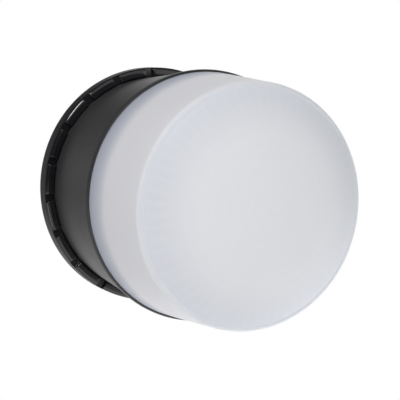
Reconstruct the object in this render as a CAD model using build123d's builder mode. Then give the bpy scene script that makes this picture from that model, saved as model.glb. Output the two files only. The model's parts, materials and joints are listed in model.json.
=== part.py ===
from build123d import *
import os
from math import asin, atan2, cos, degrees, hypot, radians, sin

# Round LED signal head: a flat base screwed to a wall, a body held on it by a
# castellated twist-lock ring, and an opal lens that twists into the body's rim.
# Millimetres.  The signal's axis is horizontal and the lens faces -Y.  The origin is
# the centre of the rear face, and "depth" is the distance forward of that face.

# ---- driving dimensions ----------------------------------------------------------
RIM_RADIUS = 51.0
RIM_DEPTH = 55.5
LENS_DEPTH = 110.5
RING_SIDE_DEPTH = 6.5
NOTCH_COUNT = 20
NOTCH_START = 3.6
NOTCH_WIDTH = 3.3

# ---- locking ring and the tabs that it turns under -------------------------------
RING_REAR = 0.4
RING_FRONT = 8.0
RING_SHOULDER = 2.0
RING_INNER_EDGE = 0.5
RING_BORE = 47.2
RING_WALL_BORE = 49.3
RING_LIP_REAR = 4.9
RING_LUG_FRONT = 1.7
RING_LUG_BORE = 46.2
RING_LUG_SPAN = 26.0
RING_TAB_SPAN = 34.0
RING_TAB_RADIUS = 48.7
RING_TAB_REAR = 2.0
RING_TURN = 36.0
RING_LUG_ANGLES = (30.0, 150.0, 270.0)
RING_STOP_SPAN = 3.0
RING_STOP_GAP = 0.8
RING_FOOT_EDGE = 0.4
NOTCH_CUT_LENGTH = 8.0

# ---- mounting base ---------------------------------------------------------------
BASE_RADIUS = 44.5
BASE_FRONT = 3.2
SPIGOT_BORE = 41.0
SPIGOT_RADIUS = 43.4
SPIGOT_FRONT = 12.0
BASE_SEAL_REAR = 7.0
BASE_SEAL_FRONT = 9.4
BASE_SEAL_FLOOR = 41.8
GASKET_BORE = 38.6
GASKET_RADIUS = 41.4
GASKET_DEPTH = 1.6
FIXING_PCD = 64.0
FIXING_HOLE_RADIUS = 2.2
FIXING_BOSS_RADIUS = 5.6
FIXING_BOSS_FRONT = 8.0
FIXING_HEAD_RADIUS = 4.2
FIXING_HEAD_SEAT = 5.0
ENTRY_RADIUS = 8.0
CABLE_RADIUS = 3.5
ENTRY_COLLAR_WIDTH = 2.0
ENTRY_COLLAR_HEIGHT = 2.4
GROMMET_LIP_WIDTH = 1.6
GROMMET_LIP_EDGE = 0.6
GROMMET_LIP_HEIGHT = 1.8
GROMMET_NOSE_HEIGHT = 3.4
POCKET_COUNT = 8
POCKET_ORBIT = 18.5
POCKET_LENGTH = 6.0
POCKET_WIDTH = 5.0
POCKET_DEPTH = 1.4
KEY_WIDTH = 4.0
KEY_RADIUS = 44.9
KEY_HEIGHT = 3.4
KEY_ROOT = 1.0
KEY_CLEARANCE = 0.3
VENT_X = -27.0
VENT_RADIUS = 5.0
VENT_SHANK_RADIUS = 4.0
VENT_REAR = 0.6
VENT_CAP_HEIGHT = 2.2
VENT_HOLE_COUNT = 4
VENT_HOLE_ORBIT = 1.8
VENT_HOLE_RADIUS = 0.6
VENT_HOLE_DEPTH = 1.2

# ---- body shell ------------------------------------------------------------------
FLANGE_RADIUS = 48.9
FLANGE_FRONT = 4.6
BODY_REAR_RADIUS = 46.8
BODY_FRONT_RADIUS = 50.15
RIM_WIDTH = 3.6
RIM_SHOULDER_RISE = 0.6
RIM_SHOULDER_RUN = 1.2
RIM_NOSE_RUN = 1.4
RIM_LIP = 0.6
RIM_LEDGE = 53.4
BODY_REAR_BORE = 43.7
FLOOR_REAR = 16.5
FLOOR_FRONT = 18.5
CHAMBER_RADIUS = 45.4
CHAMBER_FRONT = 43.5
SKIRT_BORE = 47.9
SLOT_RADIUS = 49.1
SLOT_REAR = 48.2
SLOT_FRONT = 50.8
POST_RADIUS = 4.2
POST_PCD = 74.0
POST_FRONT = 35.5
POST_BORE = 2.4
POST_BORE_DEPTH = 8.0
INSERT_BORE = 1.55
INSERT_LENGTH = 6.0
POST_ANGLES = (90.0, 210.0, 330.0)

# ---- lens ------------------------------------------------------------------------
LENS_LUG_SPAN = 14.0
LENS_TURN = 25.0
LENS_LUG_RADIUS = 48.8
LENS_LUG_REAR = 48.5
LENS_LUG_FRONT = 50.5
LENS_LUG_ANGLES = (0.0, 120.0, 240.0)
SLOT_SIDE_GAP = 1.5
LENS_BASE_RADIUS = 50.1
LENS_SEAT = 53.7
SKIRT_REAR = 44.0
SKIRT_RADIUS = 47.6
SKIRT_INNER = 45.6
LENS_SEAL_REAR = 45.0
LENS_SEAL_FRONT = 47.0
LENS_SEAL_FLOOR = 46.4
LENS_WALL = 2.2
CORNER_RADIUS = 2.6
CORNER_CENTRE_RADIUS = 44.9
CORNER_CENTRE_DEPTH = 93.7
CORNER_END_SLOPE = 8.0
SKIRT_EDGE = 0.4
INNER_CORNER_DROP = 1.0
INNER_STEP_WIDTH = 0.3
INNER_STEP_RISE = 2.0

# ---- ribbed optic inside the lens ------------------------------------------------
OPTIC_EDGE_RADIUS = 42.6
OPTIC_EDGE_DEPTH = 93.2
OPTIC_APEX = 107.6
OPTIC_THICKNESS = 1.4
OPTIC_RIB_COUNT = 60
OPTIC_RIB_BORE = 37.0
OPTIC_RING_PITCH = 4.6
OPTIC_RING_COUNT = 7
OPTIC_RING_WIDTH = 0.9
OPTIC_RING_HEIGHT = 1.2
OPTIC_EDGE_STEP = 0.4
OPTIC_RIB_WIDTH = 0.7
OPTIC_RIB_HEIGHT = 1.3
OPTIC_RIB_INSET = 1.0

# ---- light engine ----------------------------------------------------------------
SINK_RADIUS = 45.2
SINK_FRONT = 39.0
FIN_REAR = 30.0
FIN_PITCH = 8.0
FIN_WIDTH = 1.8
FIN_FIELD_RADIUS = 31.5
FIN_HALF_COUNT = 3
SINK_HOLE_RADIUS = 1.6
PAD_FRONT = 39.3
PAD_RADIUS = 40.0
PAD_HOLE_RADIUS = 1.8
LED_BOARD_RADIUS = 42.5
LED_BOARD_FRONT = 40.9
LED_ROWS = ((0.0, 1), (10.5, 6), (21.0, 12), (31.5, 18))
LED_LENGTH = 3.5
LED_BREADTH = 2.8
LED_HEIGHT = 0.9
HEADER_Z = 26.0
HEADER_SLOT_LENGTH = 12.0
HEADER_SLOT_HEIGHT = 6.0
FIN_GAP_LENGTH = 14.0
FIN_GAP_HEIGHT = 18.0
REFLECTOR_BORE = 41.0
REFLECTOR_FRONT = 52.0
REFLECTOR_BASE = 1.2
REFLECTOR_WALL = 1.2
REFLECTOR_TAPER = 0.5

# ---- driver electronics ----------------------------------------------------------
DRIVER_RADIUS = 32.2
DRIVER_REAR = 21.5
DRIVER_FRONT = 23.1
STANDOFF_PCD = 54.0
STANDOFF_ANGLES = (30.0, 150.0, 270.0)
CONTACT_XS = (-10.0, 0.0, 10.0)
CONTACT_Z = -20.0
CONTACT_FACE = 15.3
STUD_RADIUS = 1.6
STUD_HEAD_RADIUS = 3.2
STUD_TAIL = 0.9
DRIVER_HOLE_RADIUS = 1.4
STANDOFF_HEX_RADIUS = 3.0
STANDOFF_BORE = 1.3
CHOKE_X = -15.0
CHOKE_Z = -4.0
CHOKE_RADIUS = 6.2
CHOKE_BORE = 2.9
CHOKE_LIFT = 0.7
CHOKE_HEIGHT = 3.6
CHOKE_EDGE = 0.4
CHOKE_TURNS = 14
CHOKE_WIRE = 0.6
CHOKE_WIRE_GAP = 0.03
CAPACITOR_SIZES = ((12.0, 12.0, 3.0), (20.5, 9.0, 2.4))
CAPACITOR_Z = -4.0
CAPACITOR_GROOVE_RISE = 1.4
CAPACITOR_GROOVE_WIDTH = 0.6
CAPACITOR_GROOVE_DEPTH = 0.3
CHIP_SIZES = (
    (0, 6, 7, 5, 1.6),
    (-14, 11, 6, 5, 2.2),
    (9, 13, 6.5, 6, 2.3),
    (0, -9, 5, 4, 1.4),
)
CHIP_TAPER = 6.0
FUSE_Z = 17.5
FUSE_LIFT = 2.3
FUSE_RADIUS = 1.5
FUSE_LENGTH = 9.0
FUSE_CAP_RADIUS = 1.8
FUSE_CAP_LENGTH = 2.0
FUSE_FOOT_HEIGHT = 1.2
FUSE_FOOT_WIDTH = 2.4
HEADER_PIN_COUNT = 4
HEADER_PITCH = 2.54
HEADER_PIN_WIDTH = 0.64
HEADER_HOLE_WIDTH = 0.7
HEADER_PIN_TAIL = 0.8
HEADER_PIN_SHORT = 0.6
HEADER_BOARD_SLOT = (8.6, 0.9)
HEADER_LENGTH = 10.2
HEADER_WIDTH = 2.6
HEADER_HEIGHT = 2.6
SOCKET_WIDTH = 3.0
SOCKET_DEPTH = 6.0

# ---- spring contacts and wiring --------------------------------------------------
CARRIER_FRONT = 10.5
BARREL_RADIUS = 2.5
BARREL_BORE = 2.0
BARREL_REAR = 4.0
BARREL_FRONT = 12.5
BARREL_CAP = 0.6
PIN_RADIUS = 1.2
PIN_COLLAR_RADIUS = 1.9
PIN_COLLAR_REAR = 9.4
PIN_COLLAR_FRONT = 10.6
PIN_CLEARANCE = 0.05
PIN_NOSE_SHARE = 0.8
CARRIER_LENGTH = 29.0
CARRIER_HEIGHT = 9.0
CARRIER_CORNER = 2.0
SPRING_WIRE_RADIUS = 0.22
SPRING_COIL_RADIUS = 1.55
SPRING_TURNS = 4
TERMINAL_XS = (-11.0, 0.0, 11.0)
TERMINAL_Z = 22.0
TERMINAL_FRONT = 14.0
CLAMP_SIZE = 6.4
CLAMP_REAR = 4.6
CLAMP_FRONT = 10.6
CLAMP_CLEARANCE = 0.1
CLAMP_WIRE_DEPTH = 7.2
CLAMP_WIRE_WIDTH = 3.8
CLAMP_WIRE_HEIGHT = 3.4
CLAMP_THREAD_RADIUS = 1.5
CLAMP_THREAD_DEPTH = 3.0
TERMINAL_LENGTH = 34.0
TERMINAL_HEIGHT = 15.0
TERMINAL_CORNER = 1.0
TERMINAL_SHAFT_RADIUS = 2.5
TERMINAL_WIRE_RADIUS = 1.7
TERMINAL_WIRE_LENGTH = 8.0
TERMINAL_SCREW_REAR = 7.8
TERMINAL_SCREW_RADIUS = 1.45
TERMINAL_SCREW_HEAD_RADIUS = 2.3
TERMINAL_SCREW_HEAD_HEIGHT = 2.2
TERMINAL_SCREW_SLOT = (4.8, 0.7)
TERMINAL_SCREW_SLOT_DEPTH = 1.1
SADDLE_X = 23.0
SADDLE_SCREW_Z = 9.0
SADDLE_BOSS_RADIUS = 3.0
SADDLE_BOSS_HEIGHT = 3.0
SADDLE_PILOT_RADIUS = 1.3
SADDLE_PILOT_REAR = 2.0
SADDLE_WIDTH = 6.0
SADDLE_OVERHANG = 3.0
SADDLE_CORNER = 2.0
SADDLE_THICKNESS = 3.0
SADDLE_ARCH_RADIUS = 2.2
SADDLE_HOLE_RADIUS = 1.6

# Turned profiles are drawn as (radius, depth) and revolved about the axis.
SECTION = Plane(origin=(0, 0, 0), x_dir=(1, 0, 0), z_dir=(0, 0, -1))


def front_plane(depth):
    """Plane square to the axis at a depth, seen from the front: X right, Z up."""
    return Plane.XZ.offset(depth)


def washer(inner, outer, depth):
    """Flat ring-shaped face at a depth, for extruding forward."""
    with BuildSketch(front_plane(depth)) as face:
        Circle(outer)
        if inner > 0:
            Circle(inner, mode=Mode.SUBTRACT)
    return face.sketch


def sector(inner, outer, middle, span, depth):
    """Ring-shaped face cut to an arc of `span` degrees about the angle `middle`."""
    reach = outer * 2
    with BuildSketch(front_plane(depth)) as face:
        Circle(outer)
        Circle(inner, mode=Mode.SUBTRACT)
        with BuildLine():
            Polyline(
                (0, 0),
                (reach * cos(radians(middle - span / 2)), reach * sin(radians(middle - span / 2))),
                (reach * cos(radians(middle + span / 2)), reach * sin(radians(middle + span / 2))),
                close=True,
            )
        make_face(mode=Mode.INTERSECT)
    return face.sketch


def rounding_middle(rise, run):
    """Middle of an arc that leaves a straight wall and drops by `rise` within `run`.

    Returns its distance inwards from the wall and its distance along it.
    """
    radius = (rise**2 + run**2) / (2 * rise)
    half_angle = asin(run / radius) / 2
    return radius * (1 - cos(half_angle)), radius * sin(half_angle)


def turned_face(points):
    """Closed profile of straight runs in the (radius, depth) section plane."""
    with BuildSketch(SECTION) as face:
        with BuildLine():
            Polyline(*points, close=True)
        make_face()
    return face.sketch


def pan_head_screw(places, seat, head_radius, head_height, shank_radius, shank_rear):
    """Pan-head screws seen from the front, each with a cross recess, at (x, z) places."""
    with BuildPart() as screws:
        for x, z in places:
            with BuildSketch(front_plane(shank_rear)):
                with Locations((x, z)):
                    Circle(shank_radius)
            extrude(amount=seat - shank_rear)
            with BuildSketch(front_plane(seat)):
                with Locations((x, z)):
                    Circle(head_radius)
            extrude(amount=head_height)
            with BuildSketch(front_plane(seat + head_height)):
                with Locations((x, z)):
                    Rectangle(head_radius * 1.2, head_radius * 0.3)
                    Rectangle(head_radius * 0.3, head_radius * 1.2)
            extrude(amount=-head_height * 0.55, mode=Mode.SUBTRACT)
    return screws


def polar_places(pcd, angles):
    """(x, z) of the points at some angles on a pitch circle."""
    return [(pcd / 2 * cos(radians(a)), pcd / 2 * sin(radians(a))) for a in angles]


FIXING_PLACES = polar_places(FIXING_PCD, (45, 135, 225, 315))
POST_PLACES = polar_places(POST_PCD, POST_ANGLES)
STANDOFF_PLACES = polar_places(STANDOFF_PCD, STANDOFF_ANGLES)
CONTACT_PLACES = [(x, CONTACT_Z) for x in CONTACT_XS]
TERMINAL_PLACES = [(x, TERMINAL_Z) for x in TERMINAL_XS]
SADDLE_PLACES = [(SADDLE_X, SADDLE_SCREW_Z), (SADDLE_X, -SADDLE_SCREW_Z)]


# ---- base and what it carries ----------------------------------------------------
def make_mount_base():
    """Base moulding: disc, sealing spigot, tabs for the ring, bosses and openings."""
    with BuildPart() as base:
        extrude(washer(ENTRY_RADIUS, BASE_RADIUS, 0), amount=BASE_FRONT)
        extrude(washer(SPIGOT_BORE, SPIGOT_RADIUS, BASE_FRONT), amount=SPIGOT_FRONT - BASE_FRONT)
        for angle in RING_LUG_ANGLES:
            tab = sector(BASE_RADIUS - 1, RING_TAB_RADIUS, angle, RING_TAB_SPAN, RING_TAB_REAR)
            extrude(tab, amount=BASE_FRONT - RING_TAB_REAR)
            lug_half = RING_LUG_SPAN / 2 + RING_STOP_GAP + RING_STOP_SPAN / 2
            for stop_angle in (angle - lug_half, angle + RING_TURN + lug_half):
                stop = sector(BASE_RADIUS - 1, RING_TAB_RADIUS, stop_angle, RING_STOP_SPAN, RING_REAR)
                extrude(stop, amount=BASE_FRONT - RING_REAR)
        for x, z in FIXING_PLACES:
            with BuildSketch(front_plane(BASE_FRONT)):
                with Locations((x, z)):
                    Circle(FIXING_BOSS_RADIUS)
            extrude(amount=FIXING_BOSS_FRONT - BASE_FRONT)
            with BuildSketch(front_plane(0)):
                with Locations((x, z)):
                    Circle(FIXING_HOLE_RADIUS)
            extrude(amount=FIXING_BOSS_FRONT, mode=Mode.SUBTRACT)
            with BuildSketch(front_plane(FIXING_HEAD_SEAT)):
                with Locations((x, z)):
                    Circle(FIXING_HEAD_RADIUS)
            extrude(amount=FIXING_BOSS_FRONT - FIXING_HEAD_SEAT, mode=Mode.SUBTRACT)
        # entry collar, vent hole and the locating key on the spigot
        entry_collar = washer(ENTRY_RADIUS, ENTRY_RADIUS + ENTRY_COLLAR_WIDTH, BASE_FRONT)
        extrude(entry_collar, amount=ENTRY_COLLAR_HEIGHT)
        with BuildSketch(front_plane(0)):
            with Locations((VENT_X, 0)):
                Circle(VENT_SHANK_RADIUS)
        extrude(amount=BASE_FRONT, mode=Mode.SUBTRACT)
        with BuildSketch(front_plane(BASE_FRONT)):
            with Locations((0, (SPIGOT_RADIUS - KEY_ROOT + KEY_RADIUS) / 2)):
                Rectangle(KEY_WIDTH, KEY_RADIUS - SPIGOT_RADIUS + KEY_ROOT)
        extrude(amount=KEY_HEIGHT)
        # seal groove round the spigot, gasket groove and pockets in the rear face
        seal_groove = washer(BASE_SEAL_FLOOR, SPIGOT_RADIUS + 1, BASE_SEAL_REAR)
        extrude(seal_groove, amount=BASE_SEAL_FRONT - BASE_SEAL_REAR, mode=Mode.SUBTRACT)
        extrude(washer(GASKET_BORE, GASKET_RADIUS, 0), amount=GASKET_DEPTH, mode=Mode.SUBTRACT)
        with BuildSketch(front_plane(0)):
            with PolarLocations(POCKET_ORBIT, POCKET_COUNT, start_angle=180 / POCKET_COUNT):
                SlotCenterToCenter(POCKET_LENGTH, POCKET_WIDTH)
        extrude(amount=POCKET_DEPTH, mode=Mode.SUBTRACT)
        # screw holes for the saddle clamp
        for x, z in SADDLE_PLACES:
            with BuildSketch(front_plane(BASE_FRONT)):
                with Locations((x, z)):
                    Circle(SADDLE_BOSS_RADIUS)
            extrude(amount=SADDLE_BOSS_HEIGHT)
            with BuildSketch(front_plane(SADDLE_PILOT_REAR)):
                with Locations((x, z)):
                    Circle(SADDLE_PILOT_RADIUS)
            extrude(amount=BASE_FRONT + SADDLE_BOSS_HEIGHT, mode=Mode.SUBTRACT)
    return base


def make_base_gasket():
    """Flat foam ring let into the rear face, flush with it."""
    with BuildPart() as gasket:
        extrude(washer(GASKET_BORE, GASKET_RADIUS, 0), amount=GASKET_DEPTH)
    return gasket


def make_cable_grommet():
    """Rubber grommet in the cable entry, with a lip each side of the base."""
    lip = ENTRY_RADIUS + GROMMET_LIP_WIDTH
    collar_front = BASE_FRONT + ENTRY_COLLAR_HEIGHT
    with BuildPart() as grommet:
        revolve(
            turned_face(
                [
                    (CABLE_RADIUS, 0),
                    (ENTRY_RADIUS, 0),
                    (ENTRY_RADIUS, collar_front),
                    (lip, collar_front),
                    (lip - GROMMET_LIP_EDGE, collar_front + GROMMET_LIP_HEIGHT),
                    (CABLE_RADIUS, collar_front + GROMMET_NOSE_HEIGHT),
                ]
            ),
            axis=Axis.Y,
        )
    return grommet


def make_breather_plug():
    """Pressure-equalising plug pressed into the base from inside."""
    with BuildPart() as plug:
        with BuildSketch(front_plane(VENT_REAR)):
            with Locations((VENT_X, 0)):
                Circle(VENT_SHANK_RADIUS)
        extrude(amount=BASE_FRONT - VENT_REAR)
        with BuildSketch(front_plane(BASE_FRONT)):
            with Locations((VENT_X, 0)):
                Circle(VENT_RADIUS)
        extrude(amount=VENT_CAP_HEIGHT)
        with BuildSketch(front_plane(VENT_REAR)):
            with Locations((VENT_X, 0)):
                with PolarLocations(VENT_HOLE_ORBIT, VENT_HOLE_COUNT):
                    Circle(VENT_HOLE_RADIUS)
        extrude(amount=VENT_HOLE_DEPTH, mode=Mode.SUBTRACT)
    return plug


def make_base_seal():
    """O-ring in the spigot's groove, sealing against the body's rear bore."""
    middle = (BASE_SEAL_REAR + BASE_SEAL_FRONT) / 2
    section_radius = (BODY_REAR_BORE - BASE_SEAL_FLOOR) / 2 - 0.03
    with BuildPart() as seal:
        with BuildSketch(SECTION):
            with Locations((BASE_SEAL_FLOOR + section_radius + 0.01, middle)):
                Circle(section_radius)
        revolve(axis=Axis.Y)
    return seal


def make_terminal_block():
    """Insulating block with three wire funnels below and three screw shafts in front."""
    with BuildPart() as block:
        with BuildSketch(front_plane(BASE_FRONT)):
            with Locations((0, TERMINAL_Z)):
                RectangleRounded(TERMINAL_LENGTH, TERMINAL_HEIGHT, TERMINAL_CORNER)
        extrude(amount=TERMINAL_FRONT - BASE_FRONT)
        for x, z in TERMINAL_PLACES:
            with BuildSketch(front_plane(CLAMP_REAR - CLAMP_CLEARANCE)):
                with Locations((x, z)):
                    Rectangle(CLAMP_SIZE + 2 * CLAMP_CLEARANCE, CLAMP_SIZE + 2 * CLAMP_CLEARANCE)
            extrude(amount=CLAMP_FRONT - CLAMP_REAR + 2 * CLAMP_CLEARANCE, mode=Mode.SUBTRACT)
            with BuildSketch(front_plane(CLAMP_FRONT)):
                with Locations((x, z)):
                    Circle(TERMINAL_SHAFT_RADIUS)
            extrude(amount=TERMINAL_FRONT - CLAMP_FRONT, mode=Mode.SUBTRACT)
            with BuildSketch(Plane.XY.offset(TERMINAL_Z)):
                with Locations((x, -CLAMP_WIRE_DEPTH)):
                    Circle(TERMINAL_WIRE_RADIUS)
            extrude(amount=-TERMINAL_WIRE_LENGTH, mode=Mode.SUBTRACT)
    return block


def make_terminal_clamps():
    """Three square brass cages, each with a wire hole through it and a screw hole."""
    with BuildPart() as clamps:
        for x, z in TERMINAL_PLACES:
            with BuildSketch(front_plane(CLAMP_REAR)):
                with Locations((x, z)):
                    Rectangle(CLAMP_SIZE, CLAMP_SIZE)
            extrude(amount=CLAMP_FRONT - CLAMP_REAR)
            with BuildSketch(Plane.XY.offset(TERMINAL_Z - CLAMP_SIZE / 2)):
                with Locations((x, -CLAMP_WIRE_DEPTH)):
                    Rectangle(CLAMP_WIRE_WIDTH, CLAMP_WIRE_HEIGHT)
            extrude(amount=CLAMP_SIZE, mode=Mode.SUBTRACT)
            with BuildSketch(front_plane(CLAMP_FRONT)):
                with Locations((x, z)):
                    Circle(CLAMP_THREAD_RADIUS)
            extrude(amount=-CLAMP_THREAD_DEPTH, mode=Mode.SUBTRACT)
    return clamps


def make_terminal_screws():
    """Three slotted clamp screws, one in each cage."""
    with BuildPart() as screws:
        for x, z in TERMINAL_PLACES:
            with BuildSketch(front_plane(TERMINAL_SCREW_REAR)):
                with Locations((x, z)):
                    Circle(TERMINAL_SCREW_RADIUS)
            extrude(amount=CLAMP_FRONT - TERMINAL_SCREW_REAR)
            with BuildSketch(front_plane(CLAMP_FRONT)):
                with Locations((x, z)):
                    Circle(TERMINAL_SCREW_HEAD_RADIUS)
            extrude(amount=TERMINAL_SCREW_HEAD_HEIGHT)
            with BuildSketch(front_plane(CLAMP_FRONT + TERMINAL_SCREW_HEAD_HEIGHT)):
                with Locations((x, z)):
                    Rectangle(*TERMINAL_SCREW_SLOT)
            extrude(amount=-TERMINAL_SCREW_SLOT_DEPTH, mode=Mode.SUBTRACT)
    return screws


def make_strain_relief():
    """Saddle that clamps the cable beside the entry, arched in the middle."""
    saddle_rear = BASE_FRONT + SADDLE_BOSS_HEIGHT
    with BuildPart() as saddle:
        with BuildSketch(front_plane(saddle_rear)):
            with Locations((SADDLE_X, 0)):
                RectangleRounded(SADDLE_WIDTH, 2 * (SADDLE_SCREW_Z + SADDLE_OVERHANG), SADDLE_CORNER)
        extrude(amount=SADDLE_THICKNESS)
        with BuildSketch(Plane.YZ.offset(SADDLE_X)):
            with Locations((-saddle_rear, 0)):
                Circle(SADDLE_ARCH_RADIUS)
        extrude(amount=SADDLE_WIDTH, both=True, mode=Mode.SUBTRACT)
        for x, z in SADDLE_PLACES:
            with BuildSketch(front_plane(saddle_rear)):
                with Locations((x, z)):
                    Circle(SADDLE_HOLE_RADIUS)
            extrude(amount=SADDLE_THICKNESS, mode=Mode.SUBTRACT)
    return saddle


def make_contact_carrier():
    """Insulating bar that holds the three spring-contact barrels."""
    with BuildPart() as carrier:
        with BuildSketch(front_plane(BASE_FRONT)):
            with Locations((0, CONTACT_Z)):
                RectangleRounded(CARRIER_LENGTH, CARRIER_HEIGHT, CARRIER_CORNER)
        extrude(amount=CARRIER_FRONT - BASE_FRONT)
        for x, z in CONTACT_PLACES:
            with BuildSketch(front_plane(BARREL_REAR)):
                with Locations((x, z)):
                    Circle(BARREL_RADIUS)
            extrude(amount=CARRIER_FRONT - BARREL_REAR, mode=Mode.SUBTRACT)
    return carrier


def make_contact_barrels():
    """Three closed brass barrels, open only where the pin comes out."""
    with BuildPart() as barrels:
        for x, z in CONTACT_PLACES:
            with BuildSketch(front_plane(BARREL_REAR)):
                with Locations((x, z)):
                    Circle(BARREL_RADIUS)
            extrude(amount=BARREL_FRONT - BARREL_REAR)
            with BuildSketch(front_plane(BARREL_REAR + BARREL_CAP)):
                with Locations((x, z)):
                    Circle(BARREL_BORE)
            extrude(amount=BARREL_FRONT - BARREL_REAR - 2 * BARREL_CAP, mode=Mode.SUBTRACT)
            with BuildSketch(front_plane(BARREL_FRONT)):
                with Locations((x, z)):
                    Circle(PIN_RADIUS + PIN_CLEARANCE)
            extrude(amount=-BARREL_CAP, mode=Mode.SUBTRACT)
    return barrels


def make_contact_pin(x):
    """Sprung contact pin with a round nose and a collar that stays in the barrel."""
    nose = CONTACT_FACE - PIN_CLEARANCE
    with BuildPart() as pin:
        with BuildSketch(front_plane(PIN_COLLAR_REAR)):
            with Locations((x, CONTACT_Z)):
                Circle(PIN_COLLAR_RADIUS)
        extrude(amount=PIN_COLLAR_FRONT - PIN_COLLAR_REAR)
        with BuildSketch(front_plane(PIN_COLLAR_FRONT)):
            with Locations((x, CONTACT_Z)):
                Circle(PIN_RADIUS)
        extrude(amount=nose - PIN_COLLAR_FRONT)
        fillet(pin.edges().sort_by(Axis.Y)[0], radius=PIN_RADIUS * PIN_NOSE_SHARE)
    return pin


def make_pin_spring(x):
    """Coil spring between the barrel's floor and the pin's collar."""
    end_gap = SPRING_WIRE_RADIUS + PIN_CLEARANCE
    rear = BARREL_REAR + BARREL_CAP + end_gap
    height = PIN_COLLAR_REAR - end_gap - rear
    with BuildPart() as spring:
        with BuildLine() as path:
            Helix(
                pitch=height / SPRING_TURNS,
                height=height,
                radius=SPRING_COIL_RADIUS,
                center=(x, -rear, CONTACT_Z),
                direction=(0, -1, 0),
            )
        with BuildSketch(Plane(origin=path.line @ 0, z_dir=path.line % 0)):
            Circle(SPRING_WIRE_RADIUS)
        sweep(path=path.line, is_frenet=True)
    return spring


# ---- locking ring ----------------------------------------------------------------
def make_locking_ring():
    """Castellated ring: rounded shoulder, twenty notches, lip, and three lugs inside."""
    shoulder_x = RIM_RADIUS - RING_SHOULDER
    shoulder_y = RING_FRONT - RING_SHOULDER
    mid = cos(radians(45))
    with BuildPart() as ring:
        with BuildSketch(SECTION):
            with BuildLine():
                Polyline(
                    (RING_BORE, RING_FRONT - RING_INNER_EDGE),
                    (RING_BORE, RING_LIP_REAR),
                    (RING_WALL_BORE, RING_LIP_REAR),
                    (RING_WALL_BORE, RING_REAR),
                    (RIM_RADIUS - RING_FOOT_EDGE, RING_REAR),
                    (RIM_RADIUS, RING_REAR + RING_FOOT_EDGE),
                    (RIM_RADIUS, shoulder_y),
                )
                ThreePointArc(
                    (RIM_RADIUS, shoulder_y),
                    (shoulder_x + RING_SHOULDER * mid, shoulder_y + RING_SHOULDER * mid),
                    (shoulder_x, RING_FRONT),
                )
                Line((shoulder_x, RING_FRONT), (RING_BORE + RING_INNER_EDGE, RING_FRONT))
                ThreePointArc(
                    (RING_BORE + RING_INNER_EDGE, RING_FRONT),
                    (
                        RING_BORE + RING_INNER_EDGE * (1 - mid),
                        RING_FRONT - RING_INNER_EDGE * (1 - mid),
                    ),
                    (RING_BORE, RING_FRONT - RING_INNER_EDGE),
                )
            make_face()
        revolve(axis=Axis.Y)
        with BuildSketch(front_plane(RING_SIDE_DEPTH)):
            with PolarLocations((RING_BORE + RIM_RADIUS) / 2, NOTCH_COUNT, start_angle=NOTCH_START):
                Rectangle(NOTCH_CUT_LENGTH, NOTCH_WIDTH)
        extrude(amount=RING_FRONT - RING_SIDE_DEPTH, mode=Mode.SUBTRACT)
        for angle in RING_LUG_ANGLES:
            lug = sector(RING_LUG_BORE, RING_WALL_BORE + 0.5, angle, RING_LUG_SPAN, RING_REAR)
            extrude(lug, amount=RING_LUG_FRONT - RING_REAR)
    return ring


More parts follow.
